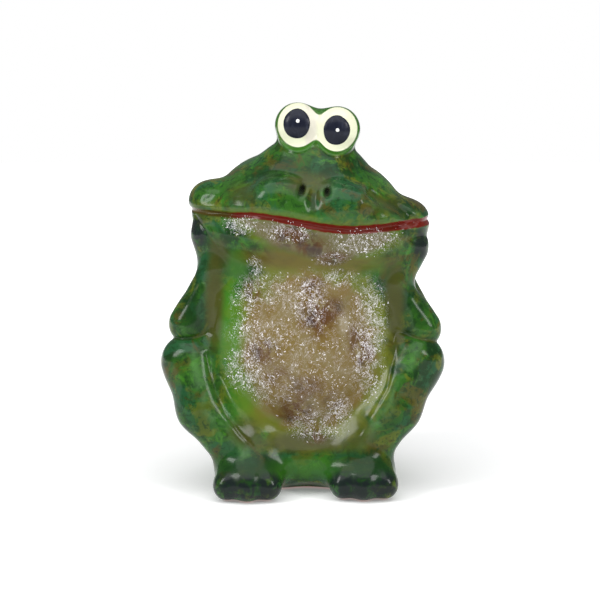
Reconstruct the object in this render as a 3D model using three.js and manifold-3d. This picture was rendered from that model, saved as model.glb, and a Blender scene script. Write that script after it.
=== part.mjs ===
// Seated clay frog money box, press-moulded in two halves, with a base slab and a rubber stopper.
// Millimetres, +Z up, the frog looks along -Y. The origin is the middle of its footprint on the ground.
import * as THREE from 'three';
import { mergeVertices } from 'three/addons/utils/BufferGeometryUtils.js';
import Module from 'manifold-3d';

const wasm = await Module();
wasm.setup();

// ---------------------------------------------------------------- overall sizes
const HEIGHT = 166;              // ground to the top of the higher eye
const WIDTH = 122;               // knee to knee
const DEPTH = 92;                // toes to the back

// ---------------------------------------------------------------- clay body
const WALL = 5.5;                // clay thickness of the hollow body
const SEAM_Y = 1;                // plane where the two moulded halves meet
const SEAM_GAP = 0.3;            // slip joint left between the halves
const HEAD_TILT = 5.5;           // degrees, the head leans towards its left hand
const KNEE_R = 10.8;
const SHIN_R = 9.6;
const RIDGE_R = 5;               // crest down the front of the shin
const FLANK_R = 10.8;            // padding between the leg and the belly
const ELBOW_R = 8.1;
const WRIST_R = 6;
const HAND_R = 7.8;
const EYE_R = 9.5;
const TOE_R = 5.6;
const TOE_PITCH = 9;

// ---------------------------------------------------------------- face relief
const MOUTH_DEPTH = 1.6;
const MOUTH_WIDTH = 1.5;
const PHILTRUM_DEPTH = 1.4;
const NOSTRIL_DEPTH = 1.5;

// ---------------------------------------------------------------- coin slot
const SLOT_LENGTH = 36;
const SLOT_HEIGHT = 5;
const SLOT_Z = 100;

// ---------------------------------------------------------------- base slab and stopper
const BASE_RECESS = 2.5;         // ground to the underside of the slab
const SLAB_THICKNESS = 6;
const FOOT_RIM = 5;              // clay left round the slab, out to the seat's edge
const SLAB_GAP = 0.3;            // slip joint round the slab
const SLAB_BAND = 7;             // narrowest clay left round the stopper's hole
const STOPPER_FIT = 0.4;         // radial room between the stopper ribs and the hole
const STOPPER_RIB = 0.5;         // how far the ribs stand out of the shank
const FLANGE_LIP = 3;            // how far the flange laps past the hole
const FLANGE_THICKNESS = 1.7;
const FLANGE_GAP = 0.3;          // under the slab
const STOPPER_LENGTH = 10;       // shank above the flange
const STOPPER_WALL = 3;
const GRIP_BAR = 3;

// ---------------------------------------------------------------- mesh fineness (columns, rows)
const HEAD_MESH = [54, 40];
const TRUNK_MESH = [40, 30];
const LEG_MESH = [18, 16];
const FOOT_MESH = [24, 16];
const ARM_MESH = [16, 14];
const HIDDEN_MESH = [10, 8];     // thighs and upper arms, mostly sunk in the trunk
const HOLLOW_MESH = [24, 16];
const ROUND_SIDES = 36;          // stopper and slab

// The figure is laid out on a master drawing of this size and stretched to the overall sizes.
const MASTER = { width: 122, depth: 92, height: 166 };
const STRETCH = [WIDTH / MASTER.width, DEPTH / MASTER.depth, HEIGHT / MASTER.height];
const HEAD_PIVOT = [2.35, 0, 120];
const JOIN = 3;                  // how far a form's skin runs over its neighbours

// ================================================================ distance fields

const smoothMin = (a, b, k) => {
  const h = Math.min(Math.max(0.5 + (0.5 * (b - a)) / k, 0), 1);
  return b * (1 - h) + a * h - k * h * (1 - h);
};

const scaled = (v) => v.map((value, i) => value * STRETCH[i]);

/** Distance to an ellipsoid laid out on the master drawing. */
function ellipsoid(centre, radii) {
  const c = scaled(centre);
  const r = scaled(radii);
  return (p) => {
    const x = p[0] - c[0];
    const y = p[1] - c[1];
    const z = p[2] - c[2];
    const near = Math.hypot(x / r[0], y / r[1], z / r[2]);
    const slope = Math.hypot(x / (r[0] * r[0]), y / (r[1] * r[1]), z / (r[2] * r[2])) + 1e-9;
    return (near * (near - 1)) / slope;
  };
}

/** Distance to a ball with a true radius at a point of the master drawing. */
function ball(centre, radius) {
  const c = scaled(centre);
  return (p) => Math.hypot(p[0] - c[0], p[1] - c[1], p[2] - c[2]) - radius;
}

/** Distance to a limb: a tapered round bar between two points of the master drawing. */
function limb(from, to, radiusFrom, radiusTo) {
  const a = scaled(from);
  const b = scaled(to);
  const ab = [b[0] - a[0], b[1] - a[1], b[2] - a[2]];
  const length2 = ab[0] ** 2 + ab[1] ** 2 + ab[2] ** 2;
  return (p) => {
    const ap = [p[0] - a[0], p[1] - a[1], p[2] - a[2]];
    const dot = ap[0] * ab[0] + ap[1] * ab[1] + ap[2] * ab[2];
    const t = Math.min(Math.max(dot / length2, 0), 1);
    const gap = Math.hypot(ap[0] - t * ab[0], ap[1] - t * ab[1], ap[2] - t * ab[2]);
    return gap - (radiusFrom + t * (radiusTo - radiusFrom));
  };
}

/** Joins fields with a soft fillet of size k. */
const blend = (k, ...fields) => (p) => fields.map((f) => f(p)).reduce((a, b) => smoothMin(a, b, k));

/** The same point seen from the untilted head. */
function toHead(p) {
  const tilt = THREE.MathUtils.degToRad(HEAD_TILT);
  const pivot = scaled(HEAD_PIVOT);
  const x = p[0] - pivot[0];
  const z = p[2] - pivot[2];
  return [
    x * Math.cos(tilt) - z * Math.sin(tilt),
    p[1],
    x * Math.sin(tilt) + z * Math.cos(tilt) + pivot[2],
  ];
}

const tilted = (field) => (p) => field(toHead(p));

// ---------------------------------------------------------------- torso
const torso = blend(
  8,
  ellipsoid([0, 5, 58], [42, 38, 54]),
  ellipsoid([0, 3, 14], [35, 33, 25]),
  ellipsoid([1, 1, 98], [38, 29, 20]),
  ellipsoid([-30, -8, 70], [15, 20, 34]),
  ellipsoid([30, -8, 70], [15, 20, 34]),
);
const belly = blend(8, ellipsoid([1, -9, 60], [35, 31.5, 37]), ellipsoid([1, -8, 86], [30, 25.5, 20]));
const jaw = tilted(ellipsoid([0, -11, 108], [46, 28.5, 12]));
/** Clay that fills in between the legs, the belly and the feet. */
const padding = blend(
  7,
  limb([-31, -13, 62], [-18, -23, 19], FLANK_R, FLANK_R),
  limb([33, -13, 62], [18, -23, 19], FLANK_R, FLANK_R),
  ellipsoid([1, -15, 15], [30, 21, 13.5]),
);

// ---------------------------------------------------------------- limbs
const LEFT_OF_VIEW = {
  side: -1,
  knee: [-50.5, -20, 56],
  shin: [-44.2, -27, 36],
  ankle: [-28.5, -29, 17],
  elbow: [-49.5, -17, 71.5],
  wrist: [-38, -18, 96],
  hand: [-40.5, -15, 109.5],
  foot: [-24, -31, 9],
  ridge: [[-46.4, -25, 59], [-43, -29, 44], [-31.8, -32, 26.4], [-25, -32, 18]],
};
const RIGHT_OF_VIEW = {
  side: 1,
  knee: [49.5, -20, 56],
  shin: [40, -26, 36],
  ankle: [26.5, -28, 17],
  elbow: [50.5, -17, 69.5],
  wrist: [39, -18, 89],
  hand: [45.5, -15, 104],
  foot: [25.5, -29, 9],
  ridge: [[47.3, -25, 60], [41.3, -28.5, 49], [31, -31.5, 33], [24.1, -31.5, 20]],
};

function footField({ foot }) {
  const [x, y, z] = foot;
  const toes = [-1, 0, 1].map((i) => {
    const reach = 12 - Math.abs(i) * 2.2;
    return ball([x + (i * TOE_PITCH) / STRETCH[0], y - reach, z - 3], TOE_R);
  });
  return blend(4, ellipsoid(foot, [14, 17, 10.5]), ...toes);
}

function lowerLegField(pose) {
  const lower = limb(pose.shin, pose.ankle, SHIN_R, SHIN_R);
  const ridge = pose.ridge.slice(1).map((to, i) => limb(pose.ridge[i], to, RIDGE_R, RIDGE_R));
  return blend(5, limb(pose.knee, pose.shin, KNEE_R, SHIN_R), lower, ...ridge);
}

function thighField(pose) {
  const kneeSide = [pose.knee[0] - pose.side * 2, pose.knee[1] + 4, pose.knee[2] - 3];
  return limb([pose.side * 26, 18, 32], kneeSide, 14, KNEE_R);
}

const upperArmField = (pose) => limb([pose.side * 32, 4, 98], pose.elbow, 10, ELBOW_R);

function forearmField(pose) {
  const fore = limb(pose.elbow, pose.wrist, ELBOW_R, WRIST_R);
  return blend(5, fore, limb(pose.wrist, pose.hand, WRIST_R, HAND_R));
}

// ---------------------------------------------------------------- head
const skull = tilted(
  blend(
    8,
    ellipsoid([0, -2, 126], [37, 32, 19]),
    ellipsoid([0, -14, 122], [43, 27, 11.5]),
    ellipsoid([0, -9, 140], [20, 16, 12]),
  ),
);
const pair = (k, make) => tilted(blend(k, make(-1), make(1)));
const cheeks = pair(6, (side) => ellipsoid([side * 42, -9, 120.3], [9.8, 14, 8.4]));
const muzzle = pair(4, (side) => ellipsoid([side * 13, -33, 125], [12, 9, 9]));
const eyes = pair(8, (side) => ball([side * 8.5, -12, 155.8], EYE_R));

/** Height of the mouth line above the ground, across the untilted head. */
function mouthHeight(x) {
  const across = x / (47 * STRETCH[0]);
  return (118 + 1.2 * across ** 2 - 0.9 * Math.sin(across * 4.2)) * STRETCH[2];
}

/** Extra depth of the mouth crease, the groove under the nose and the nostrils. */
function faceRelief(p) {
  const [x, y, z] = toHead(p);
  const front = THREE.MathUtils.clamp((4 - y) / 6, 0, 1);
  const up = z - 127 * STRETCH[2];
  let depth = MOUTH_DEPTH * Math.exp(-(((z - mouthHeight(x)) / MOUTH_WIDTH) ** 2));
  depth += PHILTRUM_DEPTH * Math.exp(-((x / 2.6) ** 2) - (up / 6) ** 2);
  for (const side of [-1, 1]) {
    const away = Math.hypot(x - side * 5.2 * STRETCH[0], up - 5.3);
    depth += NOSTRIL_DEPTH * Math.exp(-((away / 1.6) ** 2));
  }
  return depth * front;
}

// ---------------------------------------------------------------- clay forms and the hollow
const trunkForm = blend(5, blend(16, blend(4, torso, belly), jaw), padding);
const headForm = blend(5, skull, cheeks, muzzle, eyes);
const bodyForm = blend(6, trunkForm, headForm);
const POSES = [LEFT_OF_VIEW, RIGHT_OF_VIEW];
const legs = POSES.map((pose) => blend(6, lowerLegField(pose), thighField(pose), footField(pose)));
const arms = POSES.map((pose) => blend(3, upperArmField(pose), forearmField(pose)));
const figureForm = blend(0.8, blend(10, bodyForm, ...legs), blend(5, bodyForm, ...arms));
const core = blend(5, blend(4, torso, belly), jaw, skull);
const hollowForm = (p) => core(p) + WALL;

// ================================================================ solids

function toSolid(geometry) {
  const bare = geometry.clone();
  bare.deleteAttribute('normal');
  bare.deleteAttribute('uv');
  const merged = mergeVertices(bare, 1e-5);
  return new wasm.Manifold(new wasm.Mesh({
    numProp: 3,
    vertProperties: new Float32Array(merged.attributes.position.array),
    triVerts: new Uint32Array(merged.index.array),
  }));
}

function toGeometry(solid) {
  const mesh = solid.getMesh();
  const geometry = new THREE.BufferGeometry();
  geometry.setAttribute('position', new THREE.BufferAttribute(new Float32Array(mesh.vertProperties), 3));
  geometry.setIndex(new THREE.BufferAttribute(new Uint32Array(mesh.triVerts), 1));
  geometry.computeVertexNormals();
  return geometry;
}

/**
 * Shrinks a sphere onto a field: each vertex comes in along its own ray until it meets the surface.
 * The rays start on the line from low to high, inside the form, and none is longer than reach. One
 * that begins inside a neighbouring form stays there, where the join takes it away.
 */
function shrinkWrap(field, [columns, rows], reach, low, high = low) {
  const geometry = new THREE.SphereGeometry(1, columns, rows).rotateX(Math.PI / 2);
  const position = geometry.attributes.position;
  const [from, to] = [scaled(low), scaled(high)];
  const longest = reach * Math.max(...STRETCH);
  for (let i = 0; i < position.count; i += 1) {
    const dir = [position.getX(i), position.getY(i), position.getZ(i)];
    const share = (dir[2] + 1) / 2;
    const start = from.map((value, k) => value + share * (to[k] - value));
    const along = (t) => start.map((value, k) => value + dir[k] * t);
    let t = longest;
    for (let step = 0; step < 100; step += 1) {
      const gap = field(along(t));
      t = THREE.MathUtils.clamp(t - gap * 0.7, 0.5, longest);
      if (Math.abs(gap) < 1e-3 || (t === longest && gap < 0)) break;
    }
    position.setXYZ(i, ...along(t));
  }
  return toSolid(geometry);
}

const boxSolid = (size, centre) => toSolid(new THREE.BoxGeometry(...size).translate(...centre));

/** Upright disc of elliptical outline between two heights, with an optional round hole. */
function ellipsePlate(rx, ry, low, high, centreY, holeR = 0) {
  const outline = new THREE.Shape();
  outline.absellipse(0, centreY, rx, ry, 0, Math.PI * 2);
  if (holeR > 0) outline.holes.push(new THREE.Path().absarc(0, centreY, holeR, 0, Math.PI * 2, true));
  const options = { depth: high - low, bevelEnabled: false, curveSegments: ROUND_SIDES };
  return toSolid(new THREE.ExtrudeGeometry(outline, options).translate(0, 0, low));
}

// ---------------------------------------------------------------- clay shell
const BASE_Y = 3 * STRETCH[1];
const SEAT = [29, 27];           // half-sizes of the trunk where it meets the ground
const SLAB_RX = SEAT[0] * STRETCH[0] - FOOT_RIM;
const SLAB_RY = SEAT[1] * STRETCH[1] - FOOT_RIM;
const STOPPER_HOLE_R = Math.min(SLAB_RX, SLAB_RY) - SLAB_BAND;
const FLANGE_R = STOPPER_HOLE_R + FLANGE_LIP;
const slabTop = BASE_RECESS + SLAB_THICKNESS;
const bigger = 4 * Math.max(WIDTH, DEPTH, HEIGHT);
const aboveGround = boxSolid([bigger, bigger, bigger], [0, 0, bigger / 2]);
const aboveSlab = boxSolid([bigger, bigger, bigger], [0, 0, bigger / 2 + slabTop]);

const mix = (a, b, share) => a.map((value, i) => value + share * (b[i] - value));

const figure = (p) => figureForm(p) + faceRelief(p);
/** The figure's skin round one of its forms; away from that form it sinks into the clay. */
const skinOf = (form) => (p) => Math.max(figure(p), form(p) - JOIN);

const clayForms = [
  shrinkWrap(skinOf(headForm), HEAD_MESH, 75, [2, -10, 122], [4, -10, 136]),
  shrinkWrap(skinOf(trunkForm), TRUNK_MESH, 75, [0, 0, 16], [1, -4, 104]),
];
for (const pose of POSES) {
  const { side, foot, ankle, shin, knee, elbow, wrist, hand } = pose;
  const hip = [side * 26, 18, 32];
  const shoulder = [side * 32, 4, 98];
  clayForms.push(
    shrinkWrap(skinOf(lowerLegField(pose)), LEG_MESH, 30, mix(ankle, shin, 0.3), mix(shin, knee, 0.9)),
    shrinkWrap(skinOf(footField(pose)), FOOT_MESH, 30, foot),
    shrinkWrap(skinOf(thighField(pose)), HIDDEN_MESH, 30, mix(hip, knee, 0.2), mix(hip, knee, 0.75)),
    shrinkWrap(skinOf(upperArmField(pose)), HIDDEN_MESH, 30, mix(elbow, shoulder, 0.2), shoulder),
    shrinkWrap(skinOf(forearmField(pose)), ARM_MESH, 30, mix(elbow, wrist, 0.1), mix(wrist, hand, 0.7)),
  );
}
const outer = clayForms.reduce((whole, form) => whole.add(form)).intersect(aboveGround);
const hollow = shrinkWrap(hollowForm, HOLLOW_MESH, 75, [0, 0, 30], [2, -4, 116]).intersect(aboveSlab);
const slabRecess = ellipsePlate(SLAB_RX + SLAB_GAP, SLAB_RY + SLAB_GAP, -1, slabTop + 0.5, BASE_Y);
const slotMiddle = [0, DEPTH / 2 + 8 * STRETCH[1], SLOT_Z * STRETCH[2]];
const slot = boxSolid([SLOT_LENGTH, DEPTH, SLOT_HEIGHT], slotMiddle);
const shell = outer.subtract(hollow).subtract(slabRecess).subtract(slot);

const half = (sign) => boxSolid(
  [bigger, bigger, bigger],
  [0, SEAM_Y + sign * (bigger / 2 + SEAM_GAP / 2), 0],
);
const frontShell = shell.intersect(half(-1));
const backShell = shell.intersect(half(1));

// ---------------------------------------------------------------- base slab
const baseSlab = ellipsePlate(SLAB_RX, SLAB_RY, BASE_RECESS, slabTop, BASE_Y, STOPPER_HOLE_R);

// ---------------------------------------------------------------- stopper
function stopperSolid() {
  const flangeTop = BASE_RECESS - FLANGE_GAP;
  const flangeLow = flangeTop - FLANGE_THICKNESS;
  const top = flangeTop + STOPPER_LENGTH;
  const ribR = STOPPER_HOLE_R - STOPPER_FIT;
  const shankR = ribR - STOPPER_RIB;
  const profile = [[0, flangeLow], [FLANGE_R - 0.6, flangeLow], [FLANGE_R, flangeLow + 0.6]];
  profile.push([FLANGE_R, flangeTop - 0.4], [FLANGE_R - 0.4, flangeTop], [shankR, flangeTop]);
  for (const share of [0.25, 0.5, 0.75]) {
    const z = flangeTop + share * STOPPER_LENGTH;
    profile.push([shankR, z - 0.7], [ribR, z - 0.2], [ribR, z + 0.2], [shankR, z + 0.7]);
  }
  profile.push([shankR, top - 1.2], [shankR - 1.2, top], [0, top]);
  const points = profile.map(([r, z]) => new THREE.Vector2(r, z));
  const turned = toSolid(new THREE.LatheGeometry(points, ROUND_SIDES).rotateX(Math.PI / 2));
  const cupR = shankR - STOPPER_WALL;
  const cupTop = top - STOPPER_WALL;
  const cup = new THREE.CylinderGeometry(cupR, cupR, cupTop + 1, ROUND_SIDES).rotateX(Math.PI / 2);
  const barLow = flangeLow + 0.4;
  const barSize = [2 * cupR + 1, GRIP_BAR, cupTop + 0.5 - barLow];
  const bar = boxSolid(barSize, [0, 0, barLow + barSize[2] / 2]);
  return turned.subtract(toSolid(cup.translate(0, 0, (cupTop - 1) / 2))).add(bar);
}
const stopper = stopperSolid().translate([0, BASE_Y, 0]);

// ================================================================ assembly

const glaze = (color) => new THREE.MeshStandardMaterial({ color, roughness: 0.15, metalness: 0 });
const bisque = new THREE.MeshStandardMaterial({ color: 0xa8623f, roughness: 0.9, metalness: 0 });
const rubber = new THREE.MeshStandardMaterial({ color: 0x26241f, roughness: 0.7, metalness: 0 });

const box = shell.boundingBox();
const group = new THREE.Group();
for (const [name, solid, material] of [
  ['front_shell', frontShell, glaze(0x4d7a33)],
  ['back_shell', backShell, glaze(0x3f6b2f)],
  ['base_slab', baseSlab, bisque],
  ['stopper', stopper, rubber],
]) {
  const mesh = new THREE.Mesh(toGeometry(solid), material);
  mesh.name = name;
  mesh.position.set(-(box.min[0] + box.max[0]) / 2, -(box.min[1] + box.max[1]) / 2, 0);
  group.add(mesh);
}

export default group;
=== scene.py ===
"""Visual model of a seated glazed-clay frog money box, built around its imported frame.

The figure is worked out as a solid form in millimetres, cast as a fine skin in two moulded
halves, glazed and painted, and joined by its base slab, its rubber stopper, the enamelled
pupils and the sponged white flecks. Every piece is in metres in the frame's own axes.
"""

from __future__ import annotations

import sys

import logging
import math
from contextlib import contextmanager
from dataclasses import dataclass
from enum import Enum
from functools import cached_property, partial
from typing import Callable, Iterable, Iterator, Sequence

import bmesh
import bpy
import numpy as np
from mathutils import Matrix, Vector


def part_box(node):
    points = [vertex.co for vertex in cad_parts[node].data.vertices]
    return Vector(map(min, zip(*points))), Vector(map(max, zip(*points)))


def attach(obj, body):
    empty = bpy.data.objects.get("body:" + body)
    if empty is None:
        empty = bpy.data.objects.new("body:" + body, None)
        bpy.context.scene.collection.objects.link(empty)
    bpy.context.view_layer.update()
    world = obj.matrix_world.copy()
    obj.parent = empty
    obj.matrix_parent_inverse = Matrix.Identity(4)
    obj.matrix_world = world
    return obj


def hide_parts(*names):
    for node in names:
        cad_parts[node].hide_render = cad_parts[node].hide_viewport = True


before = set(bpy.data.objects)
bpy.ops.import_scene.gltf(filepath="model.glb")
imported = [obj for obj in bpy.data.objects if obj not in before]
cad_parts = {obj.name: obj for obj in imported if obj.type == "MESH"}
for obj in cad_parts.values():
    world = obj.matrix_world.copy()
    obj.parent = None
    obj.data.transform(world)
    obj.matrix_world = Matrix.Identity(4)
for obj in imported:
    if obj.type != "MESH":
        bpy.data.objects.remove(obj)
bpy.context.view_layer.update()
LOG = logging.getLogger("frog")
MM = 0.001
BODY = "figure"
SEED = 7
NOSTRILS = (-4.3, 6.1)
LIP_RISE = 2.8
LIP_WIDTH = 1.8
FAR_OFF = 1e9
TINY = 1e-9

Form = Callable[[np.ndarray], np.ndarray]
Vec3 = tuple[float, float, float]
Colour = tuple[float, float, float]


# ---------------------------------------------------------------- forms in clay


def soft_min(a: np.ndarray, b: np.ndarray, fillet: float) -> np.ndarray:
    """Return the nearer of two distances, rounded where they meet."""
    share = np.clip(0.5 + 0.5 * (b - a) / fillet, 0.0, 1.0)
    return b + (a - b) * share - fillet * share * (1.0 - share)


def soft_max(a: np.ndarray, b: np.ndarray, fillet: float) -> np.ndarray:
    """Return the farther of two distances, rounded where they meet."""
    return -soft_min(-a, -b, fillet)


def bell(distance: np.ndarray, width: float) -> np.ndarray:
    """Return a smooth bump that is 1 at no distance and fades over the width."""
    return np.exp(-((distance / width) ** 2))


def step(value: np.ndarray, low: float, high: float) -> np.ndarray:
    """Return 0 below low, 1 above high and a smooth rise between them."""
    t = np.clip((value - low) / (high - low), 0.0, 1.0)
    return t * t * (3.0 - 2.0 * t)


def to_path(across: np.ndarray, up: np.ndarray, path: Sequence[tuple[float, float]]) -> np.ndarray:
    """Measure the distance to a drawn line in the plane that the frog faces.

    Args:
        across: Sideways places of the points, in millimetres.
        up: Heights of the points, in millimetres.
        path: The line's corners, as sideways place and height.

    Returns:
        The distance of each point from the line, in millimetres.
    """
    best = np.full(across.shape, FAR_OFF)
    for (x0, z0), (x1, z1) in zip(path[:-1], path[1:]):
        dx, dz = x1 - x0, z1 - z0
        t = np.clip(((across - x0) * dx + (up - z0) * dz) / (dx * dx + dz * dz), 0.0, 1.0)
        best = np.minimum(best, np.hypot(across - x0 - t * dx, up - z0 - t * dz))
    return best


def to_oval(across: np.ndarray, up: np.ndarray, size: tuple[float, float]) -> np.ndarray:
    """Return the distance from the edge of an oval round zero, negative inside it."""
    wide, tall = size
    near = np.hypot(across / wide, up / tall)
    slope = np.hypot(across / (wide * wide), up / (tall * tall)) + TINY
    return near * (near - 1.0) / slope


def to_nostril(across: np.ndarray, up: np.ndarray, centre: float, squash: float) -> np.ndarray:
    """Return the distance from a nostril's slanting middle, on the upright head."""
    over = up - 131.0
    return np.hypot(across - centre - 0.12 * over, over * squash)


def rises(
    field: Form,
    points: np.ndarray,
    value: np.ndarray,
    reach: float,
    axes: Sequence[int] = (0, 1, 2),
) -> np.ndarray:
    """Return how much a field grows over a short reach along each axis.

    Args:
        field: The distance field.
        points: Where to measure it.
        value: The field at those points.
        reach: How far to step.
        axes: The axes to step along; the others are given as 0.

    Returns:
        The growth along each axis, one row for each point.
    """
    grown = np.zeros_like(points)
    for axis in axes:
        ahead = points.copy()
        ahead[..., axis] += reach
        grown[..., axis] = field(ahead) - value
    return grown


@dataclass(frozen=True)
class Lump:
    """An ellipsoid of clay."""

    centre: Vec3
    radii: Vec3

    def __call__(self, points: np.ndarray) -> np.ndarray:
        """Return each point's distance from the lump's surface, negative inside."""
        offset = points - np.array(self.centre)
        radii = np.array(self.radii)
        near = np.linalg.norm(offset / radii, axis=-1)
        slope = np.linalg.norm(offset / (radii * radii), axis=-1) + TINY
        return near * (near - 1.0) / slope


@dataclass(frozen=True)
class Roll:
    """A round bar of clay that tapers between two points."""

    start: Vec3
    end: Vec3
    start_r: float
    end_r: float

    def __call__(self, points: np.ndarray) -> np.ndarray:
        """Return each point's distance from the roll's surface, negative inside."""
        start, along = np.array(self.start), np.subtract(self.end, self.start)
        offset = points - start
        t = np.clip(offset @ along / (along @ along), 0.0, 1.0)
        gap = np.linalg.norm(offset - t[..., None] * along, axis=-1)
        return gap - (self.start_r + t * (self.end_r - self.start_r))


@dataclass(frozen=True)
class Pressed:
    """Forms pressed together with a soft fillet."""

    fillet: float
    forms: tuple[Form, ...]

    def __call__(self, points: np.ndarray) -> np.ndarray:
        """Return each point's distance from the joined surface, negative inside."""
        whole = self.forms[0](points)
        for form in self.forms[1:]:
            whole = soft_min(whole, form(points), self.fillet)
        return whole


def pressed(fillet: float, *forms: Form) -> Pressed:
    """Return the forms joined with a fillet of that size."""
    return Pressed(fillet, forms)


@dataclass(frozen=True)
class Pose:
    """Where the joints of one side's arm and leg lie, in millimetres."""

    side: int
    knee: Vec3
    shin: Vec3
    ankle: Vec3
    elbow: Vec3
    wrist: Vec3
    hand: Vec3
    foot: Vec3
    ridge: tuple[Vec3, ...]


@dataclass(frozen=True)
class FrogForm:
    """The frog's whole figure as one distance field, in millimetres."""

    wall: float = 5.5
    head_lean: float = 5.5
    pivot: Vec3 = (2.35, 0.0, 120.0)
    knee_r: float = 10.8
    shin_r: float = 9.6
    elbow_r: float = 8.1
    wrist_r: float = 6.0
    hand_r: float = 7.8
    eye_r: float = 9.5
    toe_r: float = 5.6
    slot_size: tuple[float, float] = (36.0, 5.0)
    slot_height: float = 100.0
    mouth_line: tuple[tuple[float, float], ...] = (
        (-51.0, 116.4),
        (-34.0, 117.2),
        (-22.0, 119.6),
        (-8.0, 118.9),
        (6.0, 117.4),
        (18.0, 117.3),
        (34.0, 119.2),
        (51.0, 121.8),
    )
    poses: tuple[Pose, Pose] = (
        Pose(
            side=-1,
            knee=(-50.5, -20.0, 56.0),
            shin=(-44.2, -27.0, 36.0),
            ankle=(-28.5, -29.0, 17.0),
            elbow=(-49.5, -17.0, 71.5),
            wrist=(-38.0, -18.0, 96.0),
            hand=(-40.5, -15.0, 109.5),
            foot=(-24.0, -31.0, 9.0),
            ridge=(
                (-46.4, -25.0, 59.0),
                (-43.0, -29.0, 44.0),
                (-31.8, -32.0, 26.4),
                (-25.0, -32.0, 18.0),
            ),
        ),
        Pose(
            side=1,
            knee=(49.5, -20.0, 56.0),
            shin=(40.0, -26.0, 36.0),
            ankle=(26.5, -28.0, 17.0),
            elbow=(50.5, -17.0, 69.5),
            wrist=(39.0, -18.0, 89.0),
            hand=(45.5, -15.0, 104.0),
            foot=(25.5, -29.0, 9.0),
            ridge=(
                (47.3, -25.0, 60.0),
                (41.3, -28.5, 49.0),
                (31.0, -31.5, 33.0),
                (24.1, -31.5, 20.0),
            ),
        ),
    )
    shin_crests: tuple[tuple[tuple[float, float], ...], ...] = (
        ((-47.0, 60.0), (-43.9, 46.5), (-37.8, 34.3), (-31.8, 26.4), (-25.4, 19.8)),
        ((47.3, 60.5), (41.3, 50.8), (35.3, 39.5), (28.4, 29.9), (24.1, 23.8)),
    )
    tool_lines: tuple[tuple[tuple[float, float], ...], ...] = (
        ((-41.7, 60.4), (-40.4, 53.4), (-37.8, 44.7), (-33.5, 36.0), (-26.7, 27.3), (-21.5, 22.0)),
        ((39.1, 68.3), (38.3, 59.6), (35.3, 46.5), (30.1, 37.8), (23.7, 27.3)),
        ((39.0, 68.9), (57.6, 68.3)),
        ((-35.7, 82.5), (-38.7, 71.2)),
        ((-46.0, 118.5), (-36.6, 106.0)),
    )

    def to_head(self, points: np.ndarray) -> np.ndarray:
        """Return the points as seen from the head before it leans."""
        lean = math.radians(self.head_lean)
        offset = points - np.array(self.pivot)
        x, y, z = offset[..., 0], offset[..., 1], offset[..., 2]
        across = x * math.cos(lean) - z * math.sin(lean)
        up = x * math.sin(lean) + z * math.cos(lean) + self.pivot[2]
        return np.stack([across, y + self.pivot[1], up], -1)

    def from_head(self, points: np.ndarray) -> np.ndarray:
        """Return points of the upright head where the leaning head has them."""
        lean = math.radians(self.head_lean)
        across, y, up = points[..., 0], points[..., 1], points[..., 2] - self.pivot[2]
        x = across * math.cos(lean) + up * math.sin(lean) + self.pivot[0]
        z = -across * math.sin(lean) + up * math.cos(lean) + self.pivot[2]
        return np.stack([x, y, z], -1)

    @cached_property
    def torso(self) -> Form:
        """The back, seat, chest and flanks."""
        return pressed(
            8.0,
            Lump((0, 5, 58), (42, 38, 54)),
            Lump((0, 3, 14), (35, 33, 25)),
            Lump((1, 1, 98), (38, 29, 20)),
            Lump((-30, -8, 70), (15, 20, 34)),
            Lump((30, -8, 70), (15, 20, 34)),
        )

    @cached_property
    def belly(self) -> Form:
        """The rounded belly, which stands out of the torso."""
        return pressed(8.0, Lump((1, -9, 60), (35, 31.5, 37)), Lump((1, -8, 86), (30, 25.5, 20)))

    @cached_property
    def padding(self) -> Form:
        """The clay that fills in between the legs, the belly and the feet."""
        flanks = (Roll((s * 32 + 1, -13, 62), (s * 18, -23, 19), 10.5, 11.0) for s in (-1, 1))
        return pressed(7.0, *flanks, Lump((1, -15, 15), (30, 21, 13.5)))

    @cached_property
    def arch(self) -> Form:
        """The low arch left open between the feet."""
        return Lump((1, -37, -1), (14, 15, 5.5))

    @cached_property
    def jaw(self) -> Form:
        """The throat under the mouth, in the head's own axes."""
        return pressed(6.0, Lump((0, -11, 108), (46, 28.5, 12)), Lump((0, -10, 114), (48, 27, 7)))

    @cached_property
    def skull(self) -> Form:
        """The crown and the upper jaw, in the head's own axes."""
        return pressed(
            8.0,
            Lump((0, -2, 126), (37, 32, 19)),
            Lump((0, -14, 122), (43, 27, 11.5)),
            Lump((0, -9, 140), (20, 16, 12)),
        )

    @cached_property
    def face(self) -> Form:
        """The cheeks, the nose pads and the eyes, in the head's own axes."""
        pads = pressed(7.0, *(Lump((s * 13.5, -32, 126), (11.5, 8.8, 8.5)) for s in (-1, 1)))
        cheeks = pressed(6.0, *(Lump((s * 42, -9, 120.3), (9.8, 14, 8.4)) for s in (-1, 1)))
        r = self.eye_r
        eyes = pressed(8.0, *(Lump((s * 8.5, -12, 155.8), (r, r, r)) for s in (-1, 1)))
        return pressed(5.0, cheeks, pads, eyes)

    def foot(self, pose: Pose) -> Form:
        """Return one foot with its three toes."""
        x, y, z = pose.foot
        toes = []
        for i in (-1, 0, 1):
            reach = 12.2 - abs(i) * 2.2
            toes.append(Lump((x + i * 9.0, y - reach, z - 3.0), (self.toe_r, 6.6, 6.0)))
        return pressed(4.0, Lump(pose.foot, (14, 17, 10.5)), *toes)

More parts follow.
